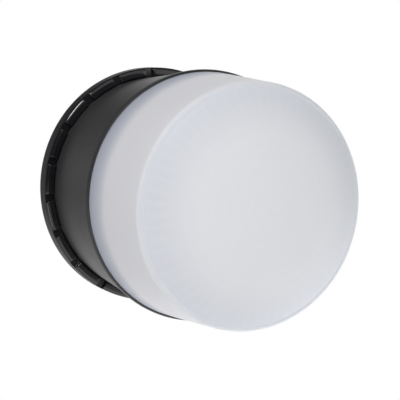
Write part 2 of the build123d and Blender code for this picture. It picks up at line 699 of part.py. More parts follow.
# ---- body ------------------------------------------------------------------------
def make_body_shell():
    """Body: tapered wall with a raised rim, an inner floor, posts and lens slots."""
    rim_rear = RIM_DEPTH - RIM_WIDTH
    shoulder_front = rim_rear + RIM_SHOULDER_RUN
    nose_rear = RIM_DEPTH - RIM_NOSE_RUN
    shoulder_in, shoulder_back = rounding_middle(RIM_SHOULDER_RISE, RIM_SHOULDER_RUN)
    nose_in, nose_forward = rounding_middle(RIM_LIP, RIM_NOSE_RUN)
    with BuildPart() as body:
        with BuildSketch(SECTION):
            with BuildLine():
                Polyline(
                    (0, FLOOR_REAR),
                    (BODY_REAR_BORE, FLOOR_REAR),
                    (BODY_REAR_BORE, BASE_FRONT),
                    (FLANGE_RADIUS, BASE_FRONT),
                    (FLANGE_RADIUS, FLANGE_FRONT),
                    (BODY_REAR_RADIUS, FLANGE_FRONT),
                    (BODY_REAR_RADIUS, RING_FRONT),
                    (BODY_FRONT_RADIUS, rim_rear),
                    (RIM_RADIUS - RIM_SHOULDER_RISE, rim_rear),
                )
                ThreePointArc(
                    (RIM_RADIUS - RIM_SHOULDER_RISE, rim_rear),
                    (RIM_RADIUS - shoulder_in, shoulder_front - shoulder_back),
                    (RIM_RADIUS, shoulder_front),
                )
                Line((RIM_RADIUS, shoulder_front), (RIM_RADIUS, nose_rear))
                ThreePointArc(
                    (RIM_RADIUS, nose_rear),
                    (RIM_RADIUS - nose_in, nose_rear + nose_forward),
                    (RIM_RADIUS - RIM_LIP, RIM_DEPTH),
                )
                Polyline(
                    (RIM_RADIUS - RIM_LIP, RIM_DEPTH),
                    (RIM_RADIUS - RIM_LIP, RIM_LEDGE),
                    (SKIRT_BORE, RIM_LEDGE),
                    (SKIRT_BORE, CHAMBER_FRONT),
                    (CHAMBER_RADIUS, CHAMBER_FRONT),
                    (CHAMBER_RADIUS, FLOOR_FRONT),
                    (0, FLOOR_FRONT),
                    (0, FLOOR_REAR),
                )
            make_face()
        revolve(axis=Axis.Y)
        # slot for the base's locating key
        with BuildSketch(front_plane(BASE_FRONT)):
            with Locations((0, BODY_REAR_BORE)):
                Rectangle(
                    KEY_WIDTH + 2 * KEY_CLEARANCE,
                    2 * (KEY_RADIUS + KEY_CLEARANCE - BODY_REAR_BORE),
                )
        extrude(amount=KEY_HEIGHT + KEY_CLEARANCE, mode=Mode.SUBTRACT)
        # posts for the heat sink, bored for their inserts
        for x, z in POST_PLACES:
            with BuildSketch(front_plane(FLOOR_FRONT)):
                with Locations((x, z)):
                    Circle(POST_RADIUS)
            extrude(amount=POST_FRONT - FLOOR_FRONT)
            with BuildSketch(front_plane(POST_FRONT)):
                with Locations((x, z)):
                    Circle(POST_BORE)
            extrude(amount=-POST_BORE_DEPTH, mode=Mode.SUBTRACT)
        # bayonet slots: an arc that the lug turns along, and a way in from the front
        for angle in LENS_LUG_ANGLES:
            first = angle - LENS_LUG_SPAN / 2 - SLOT_SIDE_GAP
            last = angle + LENS_TURN + LENS_LUG_SPAN / 2 + SLOT_SIDE_GAP
            track = sector(SKIRT_BORE - 1, SLOT_RADIUS, (first + last) / 2, last - first, SLOT_REAR)
            extrude(track, amount=SLOT_FRONT - SLOT_REAR, mode=Mode.SUBTRACT)
            entry_span = LENS_LUG_SPAN + 2 * SLOT_SIDE_GAP
            entry = sector(SKIRT_BORE - 1, SLOT_RADIUS, angle + LENS_TURN, entry_span, SLOT_REAR)
            extrude(entry, amount=RIM_LEDGE - SLOT_REAR, mode=Mode.SUBTRACT)
        # holes in the floor for the contact studs
        with BuildSketch(front_plane(FLOOR_REAR)):
            with Locations(*CONTACT_PLACES):
                Circle(STUD_RADIUS)
        extrude(amount=FLOOR_FRONT - FLOOR_REAR, mode=Mode.SUBTRACT)
    return body


def make_contact_studs():
    """Three brass studs through the floor: flat heads for the pins, tails on the driver."""
    with BuildPart() as studs:
        for x, z in CONTACT_PLACES:
            with BuildSketch(front_plane(CONTACT_FACE)):
                with Locations((x, z)):
                    Circle(STUD_HEAD_RADIUS)
            extrude(amount=FLOOR_REAR - CONTACT_FACE)
            with BuildSketch(front_plane(FLOOR_REAR)):
                with Locations((x, z)):
                    Circle(STUD_RADIUS)
            extrude(amount=DRIVER_FRONT + STUD_TAIL - FLOOR_REAR)
    return studs


def make_post_inserts():
    """Threaded brass inserts in the three posts."""
    with BuildPart() as inserts:
        for x, z in POST_PLACES:
            with BuildSketch(front_plane(POST_FRONT - INSERT_LENGTH)):
                with Locations((x, z)):
                    Circle(POST_BORE)
                    Circle(INSERT_BORE, mode=Mode.SUBTRACT)
            extrude(amount=INSERT_LENGTH)
    return inserts


# ---- driver electronics ----------------------------------------------------------
def make_driver_board():
    """Round driver board with holes for the studs, the screws and the header pins."""
    with BuildPart() as board:
        with BuildSketch(front_plane(DRIVER_REAR)):
            Circle(DRIVER_RADIUS)
            with Locations(*CONTACT_PLACES):
                Circle(STUD_RADIUS, mode=Mode.SUBTRACT)
            with Locations(*STANDOFF_PLACES):
                Circle(DRIVER_HOLE_RADIUS, mode=Mode.SUBTRACT)
            with Locations((0, HEADER_Z)):
                Rectangle(*HEADER_BOARD_SLOT, mode=Mode.SUBTRACT)
        extrude(amount=DRIVER_FRONT - DRIVER_REAR)
    return board


def make_driver_standoffs():
    """Hexagonal brass pillars between the floor and the driver board."""
    with BuildPart() as pillars:
        with BuildSketch(front_plane(FLOOR_FRONT)):
            with Locations(*STANDOFF_PLACES):
                RegularPolygon(STANDOFF_HEX_RADIUS, 6)
                Circle(STANDOFF_BORE, mode=Mode.SUBTRACT)
        extrude(amount=DRIVER_REAR - FLOOR_FRONT)
    return pillars


def make_choke_core():
    """Ferrite ring of the mains choke, lying flat on the board."""
    with BuildPart() as core:
        with BuildSketch(front_plane(DRIVER_FRONT + CHOKE_LIFT)):
            with Locations((CHOKE_X, CHOKE_Z)):
                Circle(CHOKE_RADIUS)
                Circle(CHOKE_BORE, mode=Mode.SUBTRACT)
        extrude(amount=CHOKE_HEIGHT)
        fillet(core.edges().filter_by(GeomType.CIRCLE), radius=CHOKE_EDGE)
    return core


def make_choke_winding():
    """Turns of enamelled wire round the ferrite ring, each a closed loop."""
    inner = CHOKE_BORE - CHOKE_WIRE_GAP
    outer = CHOKE_RADIUS + CHOKE_WIRE_GAP
    rear = DRIVER_FRONT + CHOKE_LIFT - CHOKE_WIRE_GAP
    height = CHOKE_HEIGHT + 2 * CHOKE_WIRE_GAP
    with BuildPart() as winding:
        with BuildSketch(front_plane(rear - CHOKE_WIRE)):
            with Locations((CHOKE_X, CHOKE_Z)):
                with PolarLocations((inner + outer) / 2, CHOKE_TURNS):
                    Rectangle(outer - inner + 2 * CHOKE_WIRE, CHOKE_WIRE)
        extrude(amount=height + 2 * CHOKE_WIRE)
        with BuildSketch(front_plane(rear)):
            with Locations((CHOKE_X, CHOKE_Z)):
                Circle(outer)
                Circle(inner, mode=Mode.SUBTRACT)
        extrude(amount=height, mode=Mode.SUBTRACT)
    return winding


def make_capacitors():
    """Two electrolytic capacitors lying on the board, with a rolled groove each."""
    with BuildPart() as cans:
        for x, length, radius in CAPACITOR_SIZES:
            foot = CAPACITOR_Z - length / 2
            with BuildSketch(Plane.XY.offset(foot)):
                with Locations((x, -(DRIVER_FRONT + radius))):
                    Circle(radius)
            extrude(amount=length)
            with BuildSketch(Plane.XY.offset(foot + CAPACITOR_GROOVE_RISE)):
                with Locations((x, -(DRIVER_FRONT + radius))):
                    Circle(radius)
                    Circle(radius - CAPACITOR_GROOVE_DEPTH, mode=Mode.SUBTRACT)
            extrude(amount=CAPACITOR_GROOVE_WIDTH, mode=Mode.SUBTRACT)
    return cans


def make_driver_chips():
    """Moulded packages of the driver: controller, bridge and two power parts."""
    with BuildPart() as packages:
        for x, z, width, height, thickness in CHIP_SIZES:
            with BuildSketch(front_plane(DRIVER_FRONT)):
                with Locations((x, z)):
                    Rectangle(width, height)
            extrude(amount=thickness, taper=CHIP_TAPER)
    return packages


def make_fuse():
    """Small barrel fuse with two end caps and its holder feet."""
    with BuildPart() as fuse:
        with BuildSketch(Plane.YZ.offset(-FUSE_LENGTH / 2)):
            with Locations((-(DRIVER_FRONT + FUSE_LIFT), FUSE_Z)):
                Circle(FUSE_RADIUS)
        extrude(amount=FUSE_LENGTH)
        for side in (-1, 1):
            with BuildSketch(Plane.YZ.offset((side * FUSE_LENGTH - FUSE_CAP_LENGTH) / 2)):
                with Locations((-(DRIVER_FRONT + FUSE_LIFT), FUSE_Z)):
                    Circle(FUSE_CAP_RADIUS)
                with Locations((-(DRIVER_FRONT + FUSE_FOOT_HEIGHT / 2), FUSE_Z)):
                    Rectangle(FUSE_FOOT_HEIGHT, FUSE_FOOT_WIDTH)
            extrude(amount=FUSE_CAP_LENGTH)
    return fuse


def make_header_block():
    """Insulator of the pin header on the driver board."""
    with BuildPart() as block:
        with BuildSketch(front_plane(DRIVER_FRONT)):
            with Locations((0, HEADER_Z)):
                Rectangle(HEADER_LENGTH, HEADER_WIDTH)
                with GridLocations(HEADER_PITCH, 1, HEADER_PIN_COUNT, 1):
                    Rectangle(HEADER_HOLE_WIDTH, HEADER_HOLE_WIDTH, mode=Mode.SUBTRACT)
        extrude(amount=HEADER_HEIGHT)
    return block


def make_header_pins():
    """Four square pins that carry current from the driver to the LED board."""
    with BuildPart() as pins:
        with BuildSketch(front_plane(DRIVER_REAR - HEADER_PIN_TAIL)):
            with Locations((0, HEADER_Z)):
                with GridLocations(HEADER_PITCH, 1, HEADER_PIN_COUNT, 1):
                    Rectangle(HEADER_PIN_WIDTH, HEADER_PIN_WIDTH)
        extrude(amount=SINK_FRONT - HEADER_PIN_SHORT - DRIVER_REAR + HEADER_PIN_TAIL)
    return pins


def make_header_socket():
    """Socket under the LED board that the header pins slide into."""
    with BuildPart() as socket:
        with BuildSketch(front_plane(SINK_FRONT - SOCKET_DEPTH)):
            with Locations((0, HEADER_Z)):
                Rectangle(HEADER_LENGTH, SOCKET_WIDTH)
                with GridLocations(HEADER_PITCH, 1, HEADER_PIN_COUNT, 1):
                    Rectangle(HEADER_HOLE_WIDTH, HEADER_HOLE_WIDTH, mode=Mode.SUBTRACT)
        extrude(amount=SOCKET_DEPTH + PAD_FRONT - SINK_FRONT)
    return socket


# ---- light engine ----------------------------------------------------------------
def make_heat_sink():
    """Aluminium disc with parallel fins behind it and a slot for the header."""
    fin_xs = [FIN_PITCH * i for i in range(-FIN_HALF_COUNT, FIN_HALF_COUNT + 1)]
    with BuildPart() as sink:
        extrude(washer(0, SINK_RADIUS, POST_FRONT), amount=SINK_FRONT - POST_FRONT)
        with BuildSketch(front_plane(FIN_REAR)):
            with Locations(*[(x, 0) for x in fin_xs]):
                Rectangle(FIN_WIDTH, 2 * FIN_FIELD_RADIUS)
            Circle(FIN_FIELD_RADIUS, mode=Mode.INTERSECT)
            with Locations((0, HEADER_Z)):
                Rectangle(FIN_GAP_LENGTH, FIN_GAP_HEIGHT, mode=Mode.SUBTRACT)
        extrude(amount=POST_FRONT - FIN_REAR)
        with BuildSketch(front_plane(POST_FRONT)):
            with Locations((0, HEADER_Z)):
                Rectangle(HEADER_SLOT_LENGTH, HEADER_SLOT_HEIGHT)
            with Locations(*POST_PLACES):
                Circle(SINK_HOLE_RADIUS)
        extrude(amount=SINK_FRONT - POST_FRONT, mode=Mode.SUBTRACT)
    return sink


def make_thermal_pad():
    """Thin soft pad between the heat sink and the LED board."""
    with BuildPart() as pad:
        with BuildSketch(front_plane(SINK_FRONT)):
            Circle(PAD_RADIUS)
            with Locations((0, HEADER_Z)):
                Rectangle(HEADER_SLOT_LENGTH, HEADER_SLOT_HEIGHT, mode=Mode.SUBTRACT)
            with Locations(*POST_PLACES):
                Circle(PAD_HOLE_RADIUS, mode=Mode.SUBTRACT)
        extrude(amount=PAD_FRONT - SINK_FRONT)
    return pad


def make_led_board():
    """Round metal-core board that carries the LEDs."""
    with BuildPart() as board:
        with BuildSketch(front_plane(PAD_FRONT)):
            Circle(LED_BOARD_RADIUS)
            with Locations(*POST_PLACES):
                Circle(SINK_HOLE_RADIUS, mode=Mode.SUBTRACT)
        extrude(amount=LED_BOARD_FRONT - PAD_FRONT)
    return board


def make_led_chips():
    """LED packages: one in the middle and three rings round it."""
    with BuildPart() as chips:
        for radius, count in LED_ROWS:
            with BuildSketch(front_plane(LED_BOARD_FRONT)):
                if count == 1:
                    Rectangle(LED_LENGTH, LED_BREADTH)
                else:
                    with PolarLocations(radius, count, start_angle=180 / count):
                        Rectangle(LED_BREADTH, LED_LENGTH)
            extrude(amount=LED_HEIGHT)
    return chips


def make_reflector():
    """White conical collar that hides the board's edge and throws light forward."""
    with BuildPart() as collar:
        revolve(
            turned_face(
                [
                    (REFLECTOR_BORE, LED_BOARD_FRONT),
                    (SINK_RADIUS, LED_BOARD_FRONT),
                    (SINK_RADIUS, CHAMBER_FRONT - REFLECTOR_TAPER),
                    (SINK_RADIUS - REFLECTOR_TAPER, REFLECTOR_FRONT),
                    (SINK_RADIUS - REFLECTOR_TAPER - REFLECTOR_WALL, REFLECTOR_FRONT),
                    (REFLECTOR_BORE, LED_BOARD_FRONT + REFLECTOR_BASE),
                ]
            ),
            axis=Axis.Y,
        )
    return collar


# ---- lens ------------------------------------------------------------------------
def dome_arc(edge_radius, edge_depth, apex_depth):
    """Arc of a spherical cap, from its edge to its apex on the axis."""
    rise = apex_depth - edge_depth
    sphere = (edge_radius**2 + rise**2) / (2 * rise)
    half_angle = asin(edge_radius / sphere) / 2
    centre_depth = apex_depth - sphere
    return ThreePointArc(
        (edge_radius, edge_depth),
        (sphere * sin(half_angle), centre_depth + sphere * cos(half_angle)),
        (0, apex_depth),
    )


def make_lens_cover():
    """Opal cup: skirt with bayonet lugs, tapered wall, rounded corner and domed face."""
    # The wall leaves the corner arc where its direction matches the line to the base.
    run = CORNER_CENTRE_DEPTH - RIM_DEPTH
    drop = LENS_BASE_RADIUS - CORNER_CENTRE_RADIUS
    wall_angle = asin(CORNER_RADIUS / hypot(run, drop)) + atan2(run, drop)
    corner_start = degrees(wall_angle) - 90
    wall_x = CORNER_CENTRE_RADIUS + CORNER_RADIUS * cos(radians(corner_start))
    wall_y = CORNER_CENTRE_DEPTH + CORNER_RADIUS * sin(radians(corner_start))
    middle = radians((corner_start + 90 - CORNER_END_SLOPE) / 2)
    edge_x = CORNER_CENTRE_RADIUS + CORNER_RADIUS * sin(radians(CORNER_END_SLOPE))
    edge_y = CORNER_CENTRE_DEPTH + CORNER_RADIUS * cos(radians(CORNER_END_SLOPE))
    with BuildPart() as lens:
        with BuildSketch(SECTION):
            with BuildLine():
                Polyline(
                    (SKIRT_INNER, SKIRT_REAR),
                    (SKIRT_RADIUS - SKIRT_EDGE, SKIRT_REAR),
                    (SKIRT_RADIUS, SKIRT_REAR + SKIRT_EDGE),
                    (SKIRT_RADIUS, LENS_SEAL_REAR),
                    (LENS_SEAL_FLOOR, LENS_SEAL_REAR),
                    (LENS_SEAL_FLOOR, LENS_SEAL_FRONT),
                    (SKIRT_RADIUS, LENS_SEAL_FRONT),
                    (SKIRT_RADIUS, LENS_SEAT),
                    (LENS_BASE_RADIUS, LENS_SEAT),
                    (LENS_BASE_RADIUS, RIM_DEPTH),
                    (wall_x, wall_y),
                )
                ThreePointArc(
                    (wall_x, wall_y),
                    (
                        CORNER_CENTRE_RADIUS + CORNER_RADIUS * cos(middle),
                        CORNER_CENTRE_DEPTH + CORNER_RADIUS * sin(middle),
                    ),
                    (edge_x, edge_y),
                )
                dome_arc(edge_x, edge_y, LENS_DEPTH)
                Line((0, LENS_DEPTH), (0, LENS_DEPTH - LENS_WALL))
                dome_arc(edge_x - LENS_WALL, edge_y - LENS_WALL, LENS_DEPTH - LENS_WALL)
                Polyline(
                    (edge_x - LENS_WALL, edge_y - LENS_WALL),
                    (wall_x - LENS_WALL, wall_y - INNER_CORNER_DROP),
                    (
                        LENS_BASE_RADIUS - LENS_WALL - INNER_STEP_WIDTH,
                        RIM_DEPTH + INNER_STEP_RISE,
                    ),
                    (SKIRT_INNER, LENS_SEAT),
                    (SKIRT_INNER, SKIRT_REAR),
                )
            make_face()
        revolve(axis=Axis.Y)
        for angle in LENS_LUG_ANGLES:
            lug = sector(SKIRT_RADIUS - 0.5, LENS_LUG_RADIUS, angle, LENS_LUG_SPAN, LENS_LUG_REAR)
            extrude(lug, amount=LENS_LUG_FRONT - LENS_LUG_REAR)
    return lens


def make_lens_seal():
    """O-ring on the lens skirt, running in the body's bore."""
    middle = (LENS_SEAL_REAR + LENS_SEAL_FRONT) / 2
    section_radius = (SKIRT_BORE - LENS_SEAL_FLOOR) / 2 - 0.04
    with BuildPart() as seal:
        with BuildSketch(SECTION):
            with Locations((LENS_SEAL_FLOOR + section_radius + 0.01, middle)):
                Circle(section_radius)
        revolve(axis=Axis.Y)
    return seal


def make_ribbed_optic():
    """Clear cap behind the opal face: concentric ridges, and radial ribs at its edge."""
    rise = OPTIC_APEX - OPTIC_EDGE_DEPTH
    sphere = (OPTIC_EDGE_RADIUS**2 + rise**2) / (2 * rise)
    centre_depth = OPTIC_APEX - sphere
    with BuildPart() as optic:
        with BuildSketch(SECTION):
            with BuildLine():
                dome_arc(OPTIC_EDGE_RADIUS, OPTIC_EDGE_DEPTH, OPTIC_APEX)
                Line((0, OPTIC_APEX), (0, OPTIC_APEX - OPTIC_THICKNESS))
                dome_arc(
                    OPTIC_EDGE_RADIUS - OPTIC_EDGE_STEP,
                    OPTIC_EDGE_DEPTH - OPTIC_THICKNESS,
                    OPTIC_APEX - OPTIC_THICKNESS,
                )
                Line(
                    (OPTIC_EDGE_RADIUS - OPTIC_EDGE_STEP, OPTIC_EDGE_DEPTH - OPTIC_THICKNESS),
                    (OPTIC_EDGE_RADIUS, OPTIC_EDGE_DEPTH),
                )
            make_face()
        revolve(axis=Axis.Y)
        # ridges stand behind the cap, one every ring pitch
        for index in range(1, OPTIC_RING_COUNT + 1):
            radius = OPTIC_RING_PITCH * index
            depth = centre_depth + (sphere**2 - radius**2) ** 0.5 - OPTIC_THICKNESS
            ridge = washer(
                radius - OPTIC_RING_WIDTH / 2,
                radius + OPTIC_RING_WIDTH / 2,
                depth - OPTIC_RING_HEIGHT / 2,
            )
            extrude(ridge, amount=OPTIC_RING_HEIGHT)
        rib_front = OPTIC_EDGE_RADIUS - OPTIC_RIB_INSET
        with BuildSketch(front_plane(OPTIC_EDGE_DEPTH - OPTIC_THICKNESS - OPTIC_EDGE_STEP)):
            with PolarLocations((rib_front + OPTIC_RIB_BORE) / 2, OPTIC_RIB_COUNT):
                Rectangle(rib_front - OPTIC_RIB_BORE, OPTIC_RIB_WIDTH)
        extrude(amount=OPTIC_RIB_HEIGHT)
    return optic


def save(piece, name):
    """Label one finished piece and write it to its own STEP file."""
    piece.part.label = name
    export_step(piece.part, f"parts/{name}.step")


os.makedirs("parts", exist_ok=True)

save(make_mount_base(), "mount_base")
save(make_base_gasket(), "base_gasket")
save(make_cable_grommet(), "cable_grommet")
save(make_breather_plug(), "breather_plug")
save(make_base_seal(), "base_seal")
save(make_terminal_block(), "terminal_block")
save(make_terminal_clamps(), "terminal_clamps")
save(make_terminal_screws(), "terminal_screws")
save(make_strain_relief(), "strain_relief")
save(
    pan_head_screw(
        SADDLE_PLACES,
        seat=BASE_FRONT + SADDLE_BOSS_HEIGHT + SADDLE_THICKNESS,
        head_radius=2.6,
        head_height=1.8,
        shank_radius=1.25,
        shank_rear=SADDLE_PILOT_REAR + 0.2,
    ),
    "strain_relief_screws",
)
save(make_contact_carrier(), "contact_carrier")
save(make_contact_barrels(), "contact_barrels")
for number, contact_x in enumerate(CONTACT_XS, start=1):
    save(make_contact_pin(contact_x), f"contact_pin_{number}")
    save(make_pin_spring(contact_x), f"pin_spring_{number}")
save(make_locking_ring(), "locking_ring")
save(make_body_shell(), "body_shell")
save(make_contact_studs(), "contact_studs")
save(make_post_inserts(), "post_inserts")
save(make_driver_board(), "driver_board")
save(make_driver_standoffs(), "driver_standoffs")
save(
    pan_head_screw(
        STANDOFF_PLACES,
        seat=DRIVER_FRONT,
        head_radius=2.4,
        head_height=1.5,
        shank_radius=1.2,
        shank_rear=FLOOR_FRONT + 0.2,
    ),
    "driver_screws",
)
save(make_choke_core(), "choke_core")
save(make_choke_winding(), "choke_winding")
save(make_capacitors(), "capacitors")
save(make_driver_chips(), "driver_chips")
save(make_fuse(), "fuse")
save(make_header_block(), "header_block")
save(make_header_pins(), "header_pins")
save(make_header_socket(), "header_socket")
save(make_heat_sink(), "heat_sink")
save(make_thermal_pad(), "thermal_pad")
save(make_led_board(), "led_board")
save(make_led_chips(), "led_chips")
save(
    pan_head_screw(
        POST_PLACES,
        seat=LED_BOARD_FRONT,
        head_radius=2.8,
        head_height=1.8,
        shank_radius=1.5,
        shank_rear=POST_FRONT - INSERT_LENGTH + 1,
    ),
    "light_engine_screws",
)
save(make_reflector(), "reflector")
save(make_lens_cover(), "lens_cover")
save(make_lens_seal(), "lens_seal")
save(make_ribbed_optic(), "ribbed_optic")
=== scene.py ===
"""Looks of a round LED signal head: charcoal body, castellated ring and opal lens.

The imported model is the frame.  Its axis lies along Y, the lens faces -Y and +Z is up.
"Depth" is the distance forward of the rear face, so a point at depth d has y = -d.
All lengths are in metres.
"""

import json
import logging
import math
from dataclasses import dataclass, field
from enum import Enum

import bmesh
import bpy
import numpy as np
from mathutils import Matrix, Vector


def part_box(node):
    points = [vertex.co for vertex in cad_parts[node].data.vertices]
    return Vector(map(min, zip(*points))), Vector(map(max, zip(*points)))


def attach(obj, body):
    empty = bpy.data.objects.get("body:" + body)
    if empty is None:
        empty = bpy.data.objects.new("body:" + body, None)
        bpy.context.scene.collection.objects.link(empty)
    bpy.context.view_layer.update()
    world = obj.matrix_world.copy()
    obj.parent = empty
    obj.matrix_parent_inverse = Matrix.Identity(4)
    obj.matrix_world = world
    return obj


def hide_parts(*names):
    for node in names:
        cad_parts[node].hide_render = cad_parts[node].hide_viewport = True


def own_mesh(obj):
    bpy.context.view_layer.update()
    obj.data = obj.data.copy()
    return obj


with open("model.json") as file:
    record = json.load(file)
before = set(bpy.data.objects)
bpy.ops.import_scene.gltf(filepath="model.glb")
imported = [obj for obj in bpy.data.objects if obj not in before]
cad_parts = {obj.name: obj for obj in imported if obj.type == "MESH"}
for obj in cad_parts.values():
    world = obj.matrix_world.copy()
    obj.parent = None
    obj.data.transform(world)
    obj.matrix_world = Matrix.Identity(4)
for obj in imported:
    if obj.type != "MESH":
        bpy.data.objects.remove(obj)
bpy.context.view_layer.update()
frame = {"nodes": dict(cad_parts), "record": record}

LOG = logging.getLogger("signal_head")
MM = 0.001
MERGE_DISTANCE = 1e-7
THIN_DISTANCE = 1e-8
SHARP_ANGLE = 40.0
NEVER_MATTE = 10.0
Colour = tuple[float, float, float]
Grid = np.ndarray


# ---- measures read from the frame --------------------------------------------------
def node_depths(node: str) -> tuple[float, float]:
    """Rear and front depth of a CAD node."""
    low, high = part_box(node)
    return -high.y, -low.y


def node_radius(node: str) -> float:
    """Outer radius of a round CAD node, from its width."""
    low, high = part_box(node)
    return (high.x - low.x) / 2


# ---- meshes --------------------------------------------------------------------------
def piece_from_grids(name: str, grids: list[tuple[Grid, bool, bool]]) -> bpy.types.Object:
    """Makes one mesh object from grids of points.

    Each grid has the shape (rows, columns, 3).  Four neighbours make a face, and a grid
    closes on itself along its rows or its columns where asked.  Faces point outwards
    after their normals are recalculated.

    Args:
        name: name of the new object.
        grids: (points, rows close, columns close) for each surface.

    Returns:
        The object, linked to the scene, smooth shaded.
    """
    points, faces, first = [], [], 0
    for grid, rows_close, columns_close in grids:
        rows, columns = grid.shape[:2]
        index = np.arange(rows * columns).reshape(rows, columns) + first
        if rows_close:
            index = np.vstack([index, index[:1]])
        if columns_close:
            index = np.hstack([index, index[:, :1]])
        quads = np.stack([index[:-1, :-1], index[1:, :-1], index[1:, 1:], index[:-1, 1:]], -1)
        points.append(grid.reshape(-1, 3))
        faces.append(quads.reshape(-1, 4))
        first += rows * columns
    mesh = bpy.data.meshes.new(name)
    mesh.from_pydata(np.vstack(points).tolist(), [], np.vstack(faces).tolist())
    obj = bpy.data.objects.new(name, mesh)
    bpy.context.scene.collection.objects.link(obj)
    close_and_orient(obj)
    return obj


def close_and_orient(obj: bpy.types.Object) -> None:
    """Merges doubled points, fills open ends, turns the faces outwards and smooths them."""
    work = bmesh.new()
    work.from_mesh(obj.data)
    bmesh.ops.remove_doubles(work, verts=work.verts, dist=MERGE_DISTANCE)
    open_edges = [edge for edge in work.edges if edge.is_boundary]
    if open_edges:
        bmesh.ops.holes_fill(work, edges=open_edges, sides=0)
    bmesh.ops.dissolve_degenerate(work, edges=work.edges, dist=THIN_DISTANCE)
    bmesh.ops.recalc_face_normals(work, faces=work.faces)
    work.to_mesh(obj.data)
    work.free()
    obj.data.polygons.foreach_set("use_smooth", np.ones(len(obj.data.polygons), bool))
    obj.data.set_sharp_from_angle(angle=math.radians(SHARP_ANGLE))


def turned(profile: Grid, angles: Grid) -> Grid:
    """Turns (radius, depth) points about the signal's axis.

    A point at radius r, depth d and angle a stands at x = r cos a, y = -d, z = r sin a.

    Args:
        profile: (n, 2) radii and depths, or (m, n, 2) with one profile for each angle.
        angles: (m,) angles in radians, anticlockwise from +X seen from the front.

    Returns:
        Grid of shape (m, n, 3).
    """
    radius = np.broadcast_to(profile[..., 0], (len(angles), profile.shape[-2]))
    depth = np.broadcast_to(profile[..., 1], (len(angles), profile.shape[-2]))
    cosine, sine = np.cos(angles)[:, None], np.sin(angles)[:, None]
    return np.stack([radius * cosine, -depth, radius * sine], axis=-1)


def arc(centre: tuple[float, float], radius: float, start: float, end: float, steps: int) -> Grid:
    """Points of a circular arc in the (radius, depth) plane, angles in degrees."""
    turn = np.radians(np.linspace(start, end, steps))
    return np.stack([centre[0] + radius * np.cos(turn), centre[1] + radius * np.sin(turn)], -1)


def rounded_box(size: tuple[float, float, float], bevel: float) -> Grid:
    """Closed box with rounded edges, as a grid wrapped round its Y axis.

    Each column is a rounded rectangle in X and Z; rows step from one end cap's centre over
    the bevel and along Y to the other end cap's centre.

    Args:
        size: full width, depth and height.
        bevel: radius of the edges.

    Returns:
        Grid of shape (rows, columns, 3) about the origin, its columns closing.
    """
    half_width, half_depth, half_height = (length / 2 for length in size)
    corner = np.radians(np.linspace(0, 90, 3))
    turn = np.concatenate([corner + math.pi / 2 * quarter for quarter in range(4)])
    signs = np.repeat([[1, 1], [-1, 1], [-1, -1], [1, -1]], 3, axis=0)
    middles = signs * np.array([half_width - bevel, half_height - bevel])
    corners = bevel * np.stack([np.cos(turn), np.sin(turn)], -1)
    wall = half_depth - bevel
    rows = []
    for spread, rounding, y in (
        (0, 0, -half_depth),
        (1, 0.65, -half_depth),
        (1, 1, -wall),
        (1, 1, wall),
        (1, 0.65, half_depth),
        (0, 0, half_depth),
    ):
        outline = spread * middles + rounding * corners
        rows.append(np.stack([outline[:, 0], np.full(len(outline), y), outline[:, 1]], -1))
    return np.array(rows)


def copies(grid: Grid, places: Grid) -> list[tuple[Grid, bool, bool]]:
    """One closed grid at each of the (n, 3) places, ready for piece_from_grids."""
    return [(grid + place, False, True) for place in places]


# ---- shader node groups ----------------------------------------------------------------
class Tree:
    """Small wrapper that adds and links shader nodes in one node tree."""

    def __init__(self, tree: bpy.types.NodeTree) -> None:
        """Keeps the tree that nodes are added to."""
        self.tree = tree

    def add(self, kind: str, inputs: dict | None = None, **settings) -> bpy.types.Node:
        """Adds a node.

        Args:
            kind: Blender's node type.
            inputs: socket name or index to a value, or to another node's output socket.
            **settings: properties set on the node itself.

        Returns:
            The new node.
        """
        node = self.tree.nodes.new(kind)
        for key, value in settings.items():
            setattr(node, key, value)
        for key, value in (inputs or {}).items():
            if isinstance(value, bpy.types.NodeSocket):
                self.tree.links.new(value, node.inputs[key])
            else:
                node.inputs[key].default_value = value
        return node

    def math(self, operation: str, first, second=0.0, clamp: bool = False) -> bpy.types.NodeSocket:
        """Adds a Math node and returns its result."""
        node = self.add("ShaderNodeMath", {0: first, 1: second}, operation=operation)
        node.use_clamp = clamp
        return node.outputs[0]

    def mix(self, share, first, second) -> bpy.types.NodeSocket:
        """Mixes two colours by a share from 0 to 1 and returns the colour."""
        node = self.add("ShaderNodeMix", data_type="RGBA")
        for socket, value in ((0, share), (6, first), (7, second)):
            if isinstance(value, bpy.types.NodeSocket):
                self.tree.links.new(value, node.inputs[socket])
            else:
                node.inputs[socket].default_value = value
        return node.outputs[2]

    def step(self, value, low: float, high: float) -> bpy.types.NodeSocket:
        """Smooth step of a value from 0 at `low` to 1 at `high`."""
        node = self.add(
            "ShaderNodeMapRange",
            {"Value": value, "From Min": low, "From Max": high},
            interpolation_type="SMOOTHSTEP",
        )
        return node.outputs[0]

    def noise(self, vector, scale, detail: float = 3.0) -> bpy.types.NodeSocket:
        """Adds a noise texture on a vector and returns its value."""
        node = self.add("ShaderNodeTexNoise", {"Vector": vector, "Scale": scale, "Detail": detail})
        return node.outputs["Fac"]

    def axis_radius(self, parts) -> bpy.types.NodeSocket:
        """Distance from the Y axis, sqrt(x * x + z * z), from a vector's three parts."""
        across = self.math("MULTIPLY", parts[0], parts[0])
        upward = self.math("MULTIPLY", parts[2], parts[2])
        return self.math("SQRT", self.math("ADD", across, upward))


class Effect(Enum):
    """Surface effects that several materials share, one node group each."""

    MOULDED = "moulded_surface"
    TURNED = "turned_metal"
    BOARD = "printed_board"


